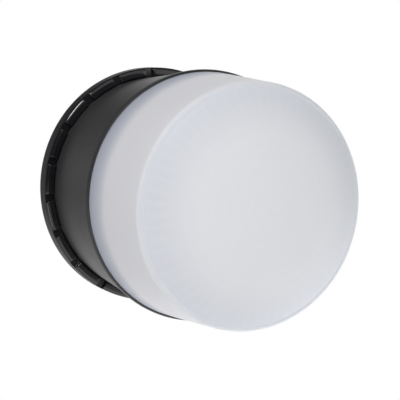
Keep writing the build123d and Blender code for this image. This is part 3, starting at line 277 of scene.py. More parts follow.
def new_group(name: str, inputs: dict[str, float | tuple], outputs: dict[str, str]) -> Tree:
    """Makes an empty shader node group with named sockets.

    Args:
        name: the group's name.
        inputs: socket name to default; a tuple of four makes a colour socket.
        outputs: socket name to socket type.

    Returns:
        Tree of the group; its nodes "in" and "out" are the group's ends.
    """
    group = bpy.data.node_groups.new(name, "ShaderNodeTree")
    for label, default in inputs.items():
        kind = "NodeSocketColor" if isinstance(default, tuple) else "NodeSocketFloat"
        socket = group.interface.new_socket(name=label, in_out="INPUT", socket_type=kind)
        socket.default_value = default
    for label, kind in outputs.items():
        group.interface.new_socket(name=label, in_out="OUTPUT", socket_type=kind)
    tree = Tree(group)
    tree.add("NodeGroupInput").name = "in"
    tree.add("NodeGroupOutput").name = "out"
    return tree


def finish_group(tree: Tree, results: dict[str, bpy.types.NodeSocket]) -> None:
    """Links results to the group's outputs by name."""
    out = tree.tree.nodes["out"]
    for label, socket in results.items():
        tree.tree.links.new(socket, out.inputs[label])


COLOUR_OUTPUTS = {
    "Colour": "NodeSocketColor",
    "Roughness": "NodeSocketFloat",
    "Normal": "NodeSocketVector",
}


def build_moulded_group() -> None:
    """Moulded plastic or rubber: fine pitted grain, cloudy gloss, scuffs and a matte side.

    The grain is fine noise, used as bump and as a slight change of colour.  Cloudy gloss
    is broad noise on the roughness.  Scuffs are thin stretched noise above a threshold.
    Beyond the matte radius from the object's axis the surface is rough, as on a ring
    with a textured side and glossy faces.
    """
    tree = new_group(
        Effect.MOULDED.value,
        {
            "Base": (0.5, 0.5, 0.5, 1.0),
            "Mottle": 0.1,
            "Grain Scale": 2500.0,
            "Grain Depth": 0.2,
            "Rough": 0.4,
            "Rough Spread": 0.1,
            "Scuffs": 0.1,
            "Matte Radius": NEVER_MATTE,
            "Matte Rough": 0.5,
        },
        COLOUR_OUTPUTS,
    )
    given = tree.tree.nodes["in"].outputs
    place = tree.add("ShaderNodeTexCoord").outputs["Object"]
    grain = tree.noise(place, given["Grain Scale"], 2.0)
    cloud = tree.noise(place, 45.0, 4.0)
    stretched = tree.add("ShaderNodeMapping", {"Vector": place, "Scale": (1.0, 0.18, 1.0)})
    streaks = tree.noise(stretched.outputs[0], 900.0, 5.0)
    scuff_mask = tree.math("MULTIPLY", tree.step(streaks, 0.60, 0.72), tree.step(cloud, 0.5, 0.7))
    scuff = tree.math("MULTIPLY", scuff_mask, given["Scuffs"])
    shade = tree.math("ADD", tree.math("MULTIPLY", grain, 0.6), tree.math("MULTIPLY", cloud, 0.4))
    lighter = tree.add(
        "ShaderNodeHueSaturation",
        {
            "Color": given["Base"],
            "Value": tree.math(
                "ADD",
                1.0,
                tree.math("MULTIPLY", tree.math("SUBTRACT", shade, 0.5), given["Mottle"]),
            ),
        },
    ).outputs[0]
    colour = tree.mix(scuff, lighter, (0.35, 0.35, 0.35, 1.0))
    spread = tree.math("MULTIPLY", tree.math("SUBTRACT", cloud, 0.5), given["Rough Spread"])
    rough = tree.math("ADD", given["Rough"], spread)
    parts = tree.add("ShaderNodeSeparateXYZ", {0: place}).outputs
    beyond = tree.math("SUBTRACT", tree.axis_radius(parts), given["Matte Radius"])
    matte = tree.step(beyond, -0.2 * MM, 0.0)
    gap = tree.math("SUBTRACT", given["Matte Rough"], rough)
    rough = tree.math("ADD", rough, tree.math("MULTIPLY", gap, matte))
    rough = tree.math("ADD", rough, tree.math("MULTIPLY", scuff, 0.5), clamp=True)
    bump = tree.add(
        "ShaderNodeBump",
        {"Strength": given["Grain Depth"], "Distance": 0.00008, "Height": grain},
    )
    finish_group(tree, {"Colour": colour, "Roughness": rough, "Normal": bump.outputs["Normal"]})


def build_turned_group() -> None:
    """Turned or plated metal: fine rings about Y and tarnish clouds."""
    tree = new_group(
        Effect.TURNED.value,
        {"Base": (0.6, 0.6, 0.6, 1.0), "Tarnish": 0.3, "Ring Scale": 2200.0, "Rough": 0.3},
        COLOUR_OUTPUTS,
    )
    given = tree.tree.nodes["in"].outputs
    place = tree.add("ShaderNodeTexCoord").outputs["Object"]
    rings = tree.noise(
        tree.add("ShaderNodeMapping", {"Vector": place, "Scale": (0.06, 1.0, 0.06)}).outputs[0],
        given["Ring Scale"],
        2.0,
    )
    cloud = tree.noise(place, 160.0, 5.0)
    dark = tree.add("ShaderNodeHueSaturation", {"Color": given["Base"], "Value": 0.55}).outputs[0]
    stain = tree.math("MULTIPLY", tree.step(cloud, 0.42, 0.68), given["Tarnish"])
    rough = tree.math("ADD", given["Rough"], tree.math("MULTIPLY", cloud, 0.22), clamp=True)
    bump = tree.add("ShaderNodeBump", {"Strength": 0.25, "Distance": 0.00005, "Height": rings})
    finish_group(
        tree,
        {
            "Colour": tree.mix(stain, given["Base"], dark),
            "Roughness": rough,
            "Normal": bump.outputs["Normal"],
        },
    )


def build_board_group() -> None:
    """Printed board: copper tracks under the solder mask, as cell edges."""
    tree = new_group(
        Effect.BOARD.value,
        {"Base": (0.03, 0.16, 0.07, 1.0), "Track": (0.06, 0.26, 0.1, 1.0), "Track Scale": 260.0},
        COLOUR_OUTPUTS,
    )
    given = tree.tree.nodes["in"].outputs
    place = tree.add("ShaderNodeTexCoord").outputs["Object"]
    cells = tree.add(
        "ShaderNodeTexVoronoi",
        {"Vector": place, "Scale": given["Track Scale"], "Randomness": 0.35},
        feature="DISTANCE_TO_EDGE",
        distance="EUCLIDEAN",
    ).outputs["Distance"]
    track = tree.math("SUBTRACT", 1.0, tree.step(cells, 0.07, 0.11))
    grain = tree.noise(place, 3000.0, 2.0)
    bump = tree.add("ShaderNodeBump", {"Strength": 0.5, "Distance": 0.00004, "Height": track})
    finish_group(
        tree,
        {
            "Colour": tree.mix(track, given["Base"], given["Track"]),
            "Roughness": tree.math("ADD", 0.28, tree.math("MULTIPLY", grain, 0.2)),
            "Normal": bump.outputs["Normal"],
        },
    )


# ---- finishes ----------------------------------------------------------------------------
def new_material(name: str) -> tuple[bpy.types.Material, Tree, bpy.types.Node]:
    """Makes a material and returns it with its tree and its Principled shader."""
    material = bpy.data.materials.new(name)
    material.use_nodes = True
    return material, Tree(material.node_tree), material.node_tree.nodes["Principled BSDF"]


def feed(tree: Tree, shader: bpy.types.Node, colour, rough, normal) -> None:
    """Links a colour, a roughness and a normal to a Principled shader."""
    for label, value in (("Base Color", colour), ("Roughness", rough), ("Normal", normal)):
        tree.tree.links.new(value, shader.inputs[label])


@dataclass(frozen=True)
class Finish:
    """One material made from a shared effect.

    Attributes:
        slot: name of the record's material slot.
        effect: node group that gives colour, roughness and normal.
        colour: base colour, linear.
        values: the group's other inputs by name.
        metallic: share of metal.
        specular: strength of the plastic's reflection.
    """

    slot: str
    effect: Effect
    colour: Colour
    values: dict = field(default_factory=dict)
    metallic: float = 0.0
    specular: float = 0.5

    def material(self) -> bpy.types.Material:
        """Builds the material: the group's outputs feed one Principled shader."""
        material, tree, shader = new_material(self.slot)
        group = tree.add("ShaderNodeGroup", node_tree=bpy.data.node_groups[self.effect.value])
        group.inputs["Base"].default_value = (*self.colour, 1.0)
        for label, value in self.values.items():
            group.inputs[label].default_value = value
        feed(tree, shader, *(group.outputs[label] for label in COLOUR_OUTPUTS))
        shader.inputs["Metallic"].default_value = self.metallic
        shader.inputs["Specular IOR Level"].default_value = self.specular
        return material


def moulded(
    slot: str,
    colour: Colour,
    rough: float,
    grain: float = 0.2,
    scale: float = 2500.0,
    mottle: float = 0.15,
    spread: float = 0.12,
    scuffs: float = 0.08,
    matte_radius: float = NEVER_MATTE,
    **shader: float,
) -> Finish:
    """Finish of a moulded plastic or rubber part."""
    values = {
        "Rough": rough,
        "Grain Depth": grain,
        "Grain Scale": scale,
        "Mottle": mottle,
        "Rough Spread": spread,
        "Scuffs": scuffs,
        "Matte Radius": matte_radius,
    }
    return Finish(slot, Effect.MOULDED, colour, values, **shader)


def metal(slot: str, colour: Colour, rough: float, tarnish: float = 0.3) -> Finish:
    """Finish of a turned or plated metal part."""
    return Finish(slot, Effect.TURNED, colour, {"Rough": rough, "Tarnish": tarnish}, metallic=1.0)


FINISHES = (
    moulded("base_moulding", (0.030, 0.030, 0.032), 0.5, grain=0.5, scale=1800.0, mottle=0.3),
    moulded("foam", (0.055, 0.055, 0.057), 0.95, grain=1.0, scale=1400.0, mottle=0.7, scuffs=0.0),
    moulded("rubber", (0.018, 0.018, 0.018), 0.7, grain=0.4, scale=3500.0, mottle=0.3),
    moulded("vent_plastic", (0.22, 0.22, 0.23), 0.55, grain=0.3),
    moulded("terminal_plastic", (0.52, 0.53, 0.52), 0.42, grain=0.25),
    moulded(
        "body_charcoal",
        (0.032, 0.0318, 0.033),
        0.42,
        grain=0.25,
        scale=3200.0,
        mottle=0.25,
        specular=0.3,
    ),
    moulded(
        "ring_gloss",
        (0.007, 0.007, 0.0088),
        0.09,
        grain=0.04,
        mottle=0.1,
        spread=0.05,
        scuffs=0.02,
        matte_radius=node_radius("locking_ring") - 0.1 * MM,
    ),
    moulded("ferrite", (0.045, 0.045, 0.045), 0.75, grain=0.6, mottle=0.5),
    moulded("can_sleeve", (0.02, 0.03, 0.07), 0.3, grain=0.1),
    moulded("chip_epoxy", (0.022, 0.022, 0.022), 0.6, grain=0.5, scale=4500.0),
    moulded("pad_silicone", (0.42, 0.48, 0.55), 0.85, grain=0.5),
    moulded("led_phosphor", (0.88, 0.72, 0.18), 0.25, grain=0.1, mottle=0.3),
    moulded("reflector_white", (0.82, 0.82, 0.81), 0.28, grain=0.1, mottle=0.06),
    metal("brass", (0.72, 0.53, 0.25), 0.22),
    metal("zinc_steel", (0.62, 0.63, 0.65), 0.28, tarnish=0.2),
    metal("spring_steel", (0.5, 0.5, 0.5), 0.25),
    metal("copper_wire", (0.72, 0.32, 0.14), 0.2, tarnish=0.15),
    metal("sink_aluminium", (0.74, 0.75, 0.76), 0.34, tarnish=0.15),
    Finish("board_green", Effect.BOARD, (0.02, 0.12, 0.05), {"Track": (0.045, 0.21, 0.08, 1.0)}),
    Finish(
        "board_white",
        Effect.BOARD,
        (0.8, 0.8, 0.78),
        {"Track": (0.72, 0.72, 0.7, 1.0), "Track Scale": 90.0},
    ),
)


@dataclass(frozen=True)
class OpalFinish:
    """Opal plastic of the lens, which lets part of the light through.

    The wall is painted darker and bluer in front of the rim, as painted shade of the dark
    body behind the lens, and this painted shade clears in two stages.  The face carries faint
    marks of the optic behind it: rings at an even pitch, and ribs near its edge.

    Attributes:
        slot: name of the record's material slot.
        rim_depth: depth of the body's rim.
        face_depth: depth where the face begins.
        deep_band: length of the darker stage of the wall's painted shade.
        full_band: distance from the rim to where the wall's painted shade has cleared.
        ring_pitch: distance between the optic's rings.
        rib_count: number of ribs round the edge.
        rib_start: radius where the ribs begin.
        rib_end: radius where the ribs end.
        wall: colour of the cleared wall, painted lighter than the face as painted light carried
            through the opal.
        face: colour of the face's middle.
        face_edge_painted_shade: painted shade colour of the face near its edge.
        rim_painted_shade: painted shade colour of the wall at the rim.
        band_painted_shade: painted shade colour of the wall where the deep band ends.
        through: share of the light that passes through.
        mark_colour: colour that the marks are mixed towards.
        mark_share: how far they are mixed.
        cloud_colour: colour that the plastic's clouds are mixed towards.
        cloud_share: how far they are mixed.
        rough: roughness between the clouds.
        specular: strength of the reflection.
    """

    slot: str
    rim_depth: float
    face_depth: float = 95.9 * MM
    deep_band: float = 7.5 * MM
    full_band: float = 14.5 * MM
    ring_pitch: float = 4.6 * MM
    rib_count: int = 60
    rib_start: float = 36.5 * MM
    rib_end: float = 44.5 * MM
    wall: Colour = (0.895, 0.895, 0.92)
    face: Colour = (0.825, 0.83, 0.855)
    face_edge_painted_shade: Colour = (0.735, 0.755, 0.795)
    rim_painted_shade: Colour = (0.50, 0.52, 0.60)
    band_painted_shade: Colour = (0.63, 0.655, 0.73)
    through: float = 0.35
    mark_colour: Colour = (0.95, 0.95, 0.95)
    mark_share: float = 0.055
    cloud_colour: Colour = (0.62, 0.64, 0.70)
    cloud_share: float = 0.05
    rough: float = 0.42
    specular: float = 0.28

    def marks(self, tree: Tree, radius, angle) -> bpy.types.NodeSocket:
        """Mask of the optic's rings and ribs, from the radius and the angle."""
        inner = tree.math("SUBTRACT", 1.0, tree.step(radius, self.rib_start - MM, self.rib_start))
        turn = tree.math("MULTIPLY", radius, 2 * math.pi / self.ring_pitch)
        ring = tree.math("MULTIPLY", tree.step(tree.math("COSINE", turn), 0.72, 1.0), inner)
        spoke = tree.math("COSINE", tree.math("MULTIPLY", angle, float(self.rib_count)))
        begin = tree.step(radius, self.rib_start, self.rib_start + MM)
        end = tree.math("SUBTRACT", 1.0, tree.step(radius, self.rib_end, self.rib_end + MM))
        rib = tree.math("MULTIPLY", tree.step(spoke, 0.3, 0.9), tree.math("MULTIPLY", begin, end))
        return tree.math("ADD", ring, rib)

    def material(self) -> bpy.types.Material:
        """Builds the opal material from rings, ribs and the band of painted shade at the rim."""
        material, tree, shader = new_material(self.slot)
        place = tree.add("ShaderNodeTexCoord").outputs["Object"]
        parts = tree.add("ShaderNodeSeparateXYZ", {0: place}).outputs
        depth = tree.math("MULTIPLY", parts[1], -1.0)
        radius = tree.axis_radius(parts)
        angle = tree.math("ARCTAN2", parts[2], parts[0])
        on_face = tree.step(depth, self.face_depth - 1.5 * MM, self.face_depth + 0.3 * MM)
        marks = tree.math("MULTIPLY", self.marks(tree, radius, angle), on_face)
        cloud = tree.noise(place, 28.0, 4.0)
        fine = tree.noise(place, 1800.0, 2.0)
        colour = self.colour(tree, depth, radius, on_face)
        colour = tree.mix(
            tree.math("MULTIPLY", marks, self.mark_share), colour, (*self.mark_colour, 1.0)
        )
        colour = tree.mix(
            tree.math("MULTIPLY", cloud, self.cloud_share), colour, (*self.cloud_colour, 1.0)
        )
        rough = tree.math("ADD", self.rough, tree.math("MULTIPLY", cloud, 0.14))
        height = tree.math(
            "ADD", tree.math("MULTIPLY", fine, 0.35), tree.math("MULTIPLY", marks, 0.4)
        )
        bump = tree.add("ShaderNodeBump", {"Strength": 0.12, "Distance": 0.0001, "Height": height})
        feed(tree, shader, colour, rough, bump.outputs["Normal"])
        shader.inputs["Specular IOR Level"].default_value = self.specular
        glow = tree.add("ShaderNodeBsdfTranslucent", {"Color": colour})
        both = tree.add(
            "ShaderNodeMixShader", {0: self.through, 1: shader.outputs[0], 2: glow.outputs[0]}
        )
        out = material.node_tree.nodes["Material Output"]
        tree.tree.links.new(both.outputs[0], out.inputs["Surface"])
        return material

    def colour(self, tree: Tree, depth, radius, on_face) -> bpy.types.NodeSocket:
        """Colour of the wall, with painted shade in two stages from the rim and painted light
        beyond, and of the face, with painted shade towards its edge.
        """
        band_end = self.rim_depth + self.deep_band
        # Painted shade: the wall is darkened and blued from the rim over the deep band, then
        # clears.
        first = tree.step(depth, self.rim_depth - 2 * MM, band_end)
        second = tree.step(depth, band_end - 2.5 * MM, self.rim_depth + self.full_band)
        wall = tree.mix(first, (*self.rim_painted_shade, 1.0), (*self.band_painted_shade, 1.0))
        # Painted light: the cleared wall is painted lighter than the face, for light carried
        # through the opal.
        wall = tree.mix(second, wall, (*self.wall, 1.0))
        # Painted shade: the face is darkened and blued towards its edge.
        outer = tree.step(radius, 0.6 * self.rib_end, 1.03 * self.rib_end)
        face = tree.mix(outer, (*self.face, 1.0), (*self.face_edge_painted_shade, 1.0))
        return tree.mix(on_face, wall, face)


@dataclass(frozen=True)
class ClearFinish:
    """Clear plastic of the optic behind the lens, slightly cloudy."""

    slot: str

    def material(self) -> bpy.types.Material:
        """Builds the clear material."""
        material, tree, shader = new_material(self.slot)
        place = tree.add("ShaderNodeTexCoord").outputs["Object"]
        cloud = tree.noise(place, 120.0, 3.0)
        rough = tree.math("ADD", 0.06, tree.math("MULTIPLY", cloud, 0.08))
        colour = tree.mix(cloud, (0.93, 0.95, 0.97, 1.0), (0.97, 0.98, 0.98, 1.0))
        bump = tree.add("ShaderNodeBump", {"Strength": 0.1, "Distance": 0.0001, "Height": cloud})
        feed(tree, shader, colour, rough, bump.outputs["Normal"])
        shader.inputs["Transmission Weight"].default_value = 0.9
        shader.inputs["IOR"].default_value = 1.58
        return material


class Paintshop:
    """Makes every material once and puts each on the CAD nodes of its slot."""

    def __init__(self, finishes: list) -> None:
        """Builds the node groups, then one material for each finish."""
        build_moulded_group()
        build_turned_group()
        build_board_group()
        self.materials = {finish.slot: finish.material() for finish in finishes}

    def dress(self, obj: bpy.types.Object, slot: str) -> None:
        """Gives an object one material."""
        obj.data.materials.clear()
        obj.data.materials.append(self.materials[slot])

    def dress_frame(self) -> None:
        """Dresses every CAD node with its record slot's material."""
        for row in frame["record"]["subparts"]:
            self.dress(frame["nodes"][row["node"]], row["material_slot"])
            LOG.info("%s wears %s", row["node"], row["material_slot"])


# ---- sub-assemblies ----------------------------------------------------------------------
@dataclass
class LockingRing:
    """Castellated twist-lock ring with softened notches, and its three inner lugs.

    Attributes:
        paint: where materials come from.
        notch_count: notches round the front face.
        notch_start: angle of the first notch, degrees from +X.
        notch_width: width of a notch.
        notch_depth: depth of a notch below the front face.
        shoulder: radius of the rounded outer edge.
        softness: radius of the notches' upper edges.
        bore: radius of the lip's hole.
        wall_bore: inner radius behind the lip.
        lip: thickness of the lip behind the notch floors.
        lug_bore: radius that the lugs reach in to.
        lug_span: angle that one lug covers, degrees.
        lug_angles: angle of each lug's middle, degrees.
        lug_thickness: thickness of a lug, along the axis.
        foot_edge: rounding of the ring's other edges.
        bore_edge: rounding of the front face's inner edge.
    """

    paint: Paintshop
    notch_count: int = 20
    notch_start: float = 3.6
    notch_width: float = 3.3 * MM
    notch_depth: float = 1.5 * MM
    shoulder: float = 1.5 * MM
    softness: float = 0.35 * MM
    bore: float = 47.2 * MM
    wall_bore: float = 49.3 * MM
    lip: float = 1.6 * MM
    lug_bore: float = 46.2 * MM
    lug_span: float = 26.0
    lug_angles: tuple[float, ...] = (30.0, 150.0, 270.0)
    lug_thickness: float = 1.3 * MM
    foot_edge: float = 0.4 * MM
    bore_edge: float = 0.5 * MM

    def __post_init__(self) -> None:
        """Reads the ring's outer radius and depths from the frame."""
        self.radius = node_radius("locking_ring")
        self.rear, self.front = node_depths("locking_ring")

    def profile(self) -> Grid:
        """Closed (radius, depth) outline of the ring where it has no notch."""
        small, edge = self.foot_edge, self.bore_edge
        floor = self.front - self.notch_depth
        lip_rear = floor - self.lip
        top_corner = (self.radius - self.shoulder, self.front - self.shoulder)
        return np.vstack(
            [
                arc((self.bore + edge, self.front - edge), edge, 180, 90, 6),
                np.array([[self.bore + 1.1 * MM, self.front]]),
                arc(top_corner, self.shoulder, 90, 0, 14),
                arc((self.radius - small, self.rear + small), small, 0, -90, 5),
                arc((self.wall_bore + small, self.rear + small), small, -90, -180, 5),
                arc((self.wall_bore - small, lip_rear - small), small, 0, 90, 4),
                arc((self.bore + small, lip_rear + small), small, -90, -180, 4),
            ]
        )

    def notch_edge(self) -> Grid:
        """Half a notch's outline as (distance from its middle, drop), floor to top.

        The floor runs flat, turns up through a small root, rises straight, and leaves
        over a quarter circle of the edge's softness.
        """
        half = self.notch_width / 2
        root = 0.2 * MM
        turn = np.radians(np.linspace(0, 90, 6))
        root_arc = np.stack(
            [half - root + root * np.sin(turn), self.notch_depth - root * (1 - np.cos(turn))], -1
        )
        top_arc = np.stack(
            [
                half + self.softness * (1 - np.cos(turn)),
                self.softness * (1 - np.sin(turn)),
            ],
            -1,
        )
        middle = np.array([[0.0, self.notch_depth], [half * 0.5, self.notch_depth]])
        return np.vstack([middle, root_arc, top_arc])

    def columns(self) -> tuple[Grid, Grid]:
        """Angles of all columns round the ring, and the drop of the face at each."""
        pitch = 2 * math.pi / self.notch_count
        middle_radius = (self.bore + self.radius) / 2
        half = self.notch_edge()
        turn = half[:, 0] / middle_radius
        land = np.linspace(turn[-1], pitch - turn[-1], 10)[1:-1]
        angles = np.concatenate([-turn[:0:-1], turn, land])
        drops = np.concatenate([half[:0:-1, 1], half[:, 1], np.zeros(len(land))])
        starts = math.radians(self.notch_start) + pitch * np.arange(self.notch_count)
        all_angles = (starts[:, None] + angles[None, :]).reshape(-1)
        return all_angles, np.tile(drops, self.notch_count)

    def ring_grid(self) -> Grid:
        """Ring surface: each column's outline is lowered by its drop above the floor.

        A point at depth d above the notch floor f sinks by drop * (d - f) / notch depth,
        so the whole face comes down to the floor inside a notch.
        """
        angles, drops = self.columns()
        outline = self.profile()
        floor = self.front - self.notch_depth
        above = np.clip((outline[:, 1] - floor) / self.notch_depth, 0, 1)
        profiles = np.repeat(outline[None], len(angles), axis=0)
        profiles[:, :, 1] -= drops[:, None] * above[None, :]
        return turned(profiles, angles)

    def lug_grid(self, middle: float) -> Grid:
        """One inner lug: a rounded bar section swept round an arc, closing at its ends."""
        soft = 0.25 * MM
        sunk = self.wall_bore + 0.3 * MM
        front = self.rear + self.lug_thickness
        section = np.vstack(
            [
                arc((self.lug_bore + soft, self.rear + soft), soft, 270, 180, 4),
                arc((self.lug_bore + soft, front - soft), soft, 180, 90, 4),
                np.array([[sunk, front], [sunk, self.rear]]),
            ]
        )
        half = self.lug_span / 2
        angles = np.radians(np.linspace(middle - half, middle + half, 15))
        return turned(section, angles)

    def build(self) -> bpy.types.Object:
        """Builds the ring and rides it on its body."""
        surfaces = [(self.ring_grid(), True, True)]
        surfaces += [(self.lug_grid(angle), False, True) for angle in self.lug_angles]
        ring = piece_from_grids("ring_moulding", surfaces)
        self.paint.dress(ring, "ring_gloss")
        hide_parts("locking_ring")
        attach(ring, "ring")
        LOG.info("ring_moulding: %d faces", len(ring.data.polygons))
        return ring


@dataclass
class LightEngine:
    """Small parts on the LED board: a gel dome on each LED.

    Attributes:
        paint: where materials come from.
        rows: radius and count of each ring of LEDs.
        dome_radius: radius of a dome's foot.
        dome_height: height of a dome.
    """

    paint: Paintshop
    rows: tuple[tuple[float, int], ...] = ((0.0, 1), (10.5, 6), (21.0, 12), (31.5, 18))
    dome_radius: float = 1.15 * MM
    dome_height: float = 0.7 * MM

    def places(self) -> Grid:
        """(n, 3) centres of the LEDs' front faces."""
        depth = node_depths("led_chips")[1]
        found = []
        for radius, count in self.rows:
            angles = math.pi / count + 2 * math.pi * np.arange(count) / count
            spot = radius * MM * (count > 1)
            found.append(
                np.stack([spot * np.cos(angles), np.full(count, -depth), spot * np.sin(angles)], -1)
            )
        return np.vstack(found)

    def dome(self) -> Grid:
        """Dome: a half ellipse turned about Y, from its foot to its top.

        At the turn t the radius is R cos t and the height is H sin t.
        """
        turn = np.radians(np.linspace(0, 86, 5))
        cap = np.stack([self.dome_radius * np.cos(turn), self.dome_height * np.sin(turn)], -1)
        angles = np.linspace(0, 2 * math.pi, 13)[:-1]
        return turned(cap, angles).transpose(1, 0, 2)

    def build(self) -> bpy.types.Object:
        """Builds all the domes as one piece."""
        domes = piece_from_grids("led_gel_domes", copies(self.dome(), self.places()))
        self.paint.dress(domes, "led_phosphor")
        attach(domes, "head")
        LOG.info("led_gel_domes: %d faces", len(domes.data.polygons))
        return domes


@dataclass
class PinSprings:
    """Coil springs of the sprung contacts, which shorten as their pins go in.

    Attributes:
        paint: where materials come from.
        count: number of contacts.
        wire: radius of the wire.
        turns: number of turns of the coil.
        travel: travel of a pin; not used.
        slack: how much more than the travel a spring shortens, as a factor; not used.
        around: points round the wire.
        steps: points along one turn.
    """

    paint: Paintshop
    count: int = 3
    wire: float = 0.22 * MM
    turns: int = 4
    travel: float = 1.2 * MM
    slack: float = 1.02
    around: int = 8
    steps: int = 24

    def coil(self, node: str) -> Grid:
        """Tube along a helix that fills the box of the CAD spring.

        At the turn t the middle of the wire stands at radius R in the direction
        (cos t, sin t) and has risen by height * t / (2 pi turns).  Round it the wire's
        surface goes out by w cos u along that direction and up by w sin u.
        """
        low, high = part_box(node)
        rear, front = node_depths(node)
        radius = node_radius(node) - self.wire
        height = front - rear - 2 * self.wire
        t = np.linspace(0, 2 * math.pi * self.turns, self.steps * self.turns + 1)[:, None]
        u = np.linspace(0, 2 * math.pi, self.around + 1)[None, :-1]
        reach = radius + self.wire * np.cos(u)
        depth = rear + self.wire + height * t / t[-1] + self.wire * np.sin(u)
        x = (low.x + high.x) / 2 + reach * np.cos(t)
        z = (low.z + high.z) / 2 + reach * np.sin(t)
        return np.stack([x, -depth, z], -1)

    def build(self) -> None:
        """Builds each spring, rides it on the head and gives it a mesh of its own."""
        for number in range(1, self.count + 1):
            node = f"pin_spring_{number}"
            spring = piece_from_grids(f"pin_coil_{number}", [(self.coil(node), False, True)])
            self.paint.dress(spring, "spring_steel")
            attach(spring, "head")
            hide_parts(node)
            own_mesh(spring)
            LOG.info("%s: %d faces", spring.name, len(spring.data.polygons))


@dataclass
class DriverParts:
    """Small parts on the driver board: chip resistors and solder round the studs.

    Attributes:
        paint: where materials come from.
        chip: width, thickness and length of a chip part.
        spots: (x, z) of the chip parts.
        bevel: rounding of a chip part's edges.
        neck: radius of the solder at the top of its cone.
        foot: radius at its foot.
        cone_height: height of a cone.
        stud_inset: how far the outer studs' middles stand in from the node's ends.
    """

    paint: Paintshop
    chip: tuple[float, float, float] = (1.6 * MM, 0.55 * MM, 0.8 * MM)
    spots: tuple[tuple[float, float], ...] = (
        (-5.0, 1.0),
        (-5.0, -2.0),
        (5.5, 3.0),
        (5.5, 0.5),
        (-7.0, -10.0),
        (7.0, -11.0),
        (-21.0, 6.0),
        (-24.0, 0.0),
        (-8.0, 20.0),
        (16.0, 8.0),
        (3.0, -14.0),
        (-3.0, -14.0),
    )
    bevel: float = 0.05 * MM
    neck: float = 1.62 * MM
    foot: float = 2.6 * MM
    cone_height: float = 0.8 * MM
    stud_inset: float = 3.2 * MM

    def build(self) -> list[bpy.types.Object]:
        """Builds the chip bodies, their metal ends and the solder cones."""
        depth = node_depths("driver_board")[1]
        width, thick, length = self.chip
        places = np.array([(x * MM, -depth - thick / 2, z * MM) for x, z in self.spots])
        body = rounded_box((width * 0.62, thick, length), self.bevel)
        end = rounded_box((width * 0.18, thick * 1.06, length * 1.04), self.bevel)
        shift = np.array([width * 0.40, 0, 0])
        bodies = piece_from_grids("chip_parts", copies(body, places))
        ends = piece_from_grids(
            "chip_part_ends", copies(end, places + shift) + copies(end, places - shift)
        )
        solder = piece_from_grids("solder_cones", self.solder(depth))
        for piece, slot in ((bodies, "chip_epoxy"), (ends, "zinc_steel"), (solder, "zinc_steel")):
            self.paint.dress(piece, slot)
            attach(piece, "head")
            LOG.info("%s: %d faces", piece.name, len(piece.data.polygons))
        return [bodies, ends, solder]

    def solder(self, depth: float) -> list[tuple[Grid, bool, bool]]:
        """Solder cones: a hollow curve turned about each contact stud.

        Between the foot and the neck the radius falls with the square of the height.
        """
        share = np.linspace(0, 1, 6)
        radii = self.neck + (self.foot - self.neck) * (1 - share) ** 2
        inner = self.neck - 0.1 * MM
        curve = np.stack([radii, share * self.cone_height], -1)
        profile = np.vstack([curve, [[inner, self.cone_height], [inner, 0.0]]])
        angles = np.linspace(0, 2 * math.pi, 25)[:-1]
        cone = turned(profile, angles).transpose(1, 0, 2)
        low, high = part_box("contact_studs")
        middle = (low.z + high.z) / 2
        reach = (high.x - low.x) / 2 - self.stud_inset
        places = np.array([(x, -depth, middle) for x in (-reach, 0.0, reach)])
        return [(cone + place, True, True) for place in places]


# ---- studio ------------------------------------------------------------------------------
@dataclass(frozen=True)
class SoftBox:
    """One rectangular studio light.

    Attributes:
        name: name of the light.
        place: where it stands.
        size: width and height.
        power: power in watts.
    """

    name: str
    place: tuple[float, float, float]
    size: tuple[float, float]
    power: float

    def build(self, target: Vector) -> bpy.types.Object:
        """Makes the light and aims it at the target."""
        data = bpy.data.lights.new(self.name, "AREA")
        data.shape = "RECTANGLE"
        data.size, data.size_y = self.size
        data.energy = self.power
        lamp = bpy.data.objects.new(self.name, data)
        bpy.context.scene.collection.objects.link(lamp)
        lamp.location = self.place
        aim = target - Vector(self.place)
        lamp.rotation_euler = aim.to_track_quat("-Z", "Y").to_euler()
        lamp.visible_camera = False
        return lamp


@dataclass(frozen=True)
class SkyLobe:
    """One soft patch of light in the sky, or in the glow of the floor.

    Attributes:
        azimuth: direction round Z in degrees; 0 is -Y, positive towards +X.
        elevation: angle above the level in degrees.
        sharpness: power of the cosine that the patch fades with.
        strength: brightness at its middle.
    """

    azimuth: float
    elevation: float
    sharpness: float
    strength: float

    def direction(self) -> tuple[float, float, float]:
        """Unit vector towards the patch."""
        a, e = math.radians(self.azimuth), math.radians(self.elevation)
        return (math.sin(a) * math.cos(e), -math.cos(a) * math.cos(e), math.sin(e))

    def brightness(self, tree: Tree, place) -> bpy.types.NodeSocket:
        """Brightness of the patch: strength * max(0, cos angle) ** sharpness."""
        cosine = tree.add(
            "ShaderNodeVectorMath", {0: place, 1: self.direction()}, operation="DOT_PRODUCT"
        ).outputs["Value"]
        faded = tree.math("POWER", tree.math("MAXIMUM", cosine, 0.0), self.sharpness)
        return tree.math("MULTIPLY", faded, self.strength)


def summed(tree: Tree, place, lobes: tuple[SkyLobe, ...]) -> bpy.types.NodeSocket:
    """Sum of the brightness of all patches in the direction of a unit vector socket."""
    total = 0.0
    for lobe in lobes:
        total = tree.math("ADD", total, lobe.brightness(tree, place))
    return total


BOXES = (
    SoftBox("box_key", (-0.775, -0.666, 1.132), (0.5, 0.5), 15.225),
    SoftBox("box_low", (-0.525, -0.201, -0.254), (0.3, 0.3), 0.552),
)
SKY = (
    SkyLobe(45.0, 0.0, 8.0, 2.136),
    SkyLobe(-45.0, 0.0, 8.0, 0.135),
    SkyLobe(0.0, 50.0, 8.0, 1.461),
    SkyLobe(150.0, 15.0, 24.0, 1.736),
    SkyLobe(-160.0, 2.0, 24.0, 0.564),
)
FLOOR_GLOW = (
    SkyLobe(0.0, -90.0, 2.0, 0.558),
    SkyLobe(0.0, -40.0, 8.0, 1.051),
    SkyLobe(90.0, -35.0, 8.0, 2.655),
    SkyLobe(180.0, -35.0, 20.0, 0.673),
)


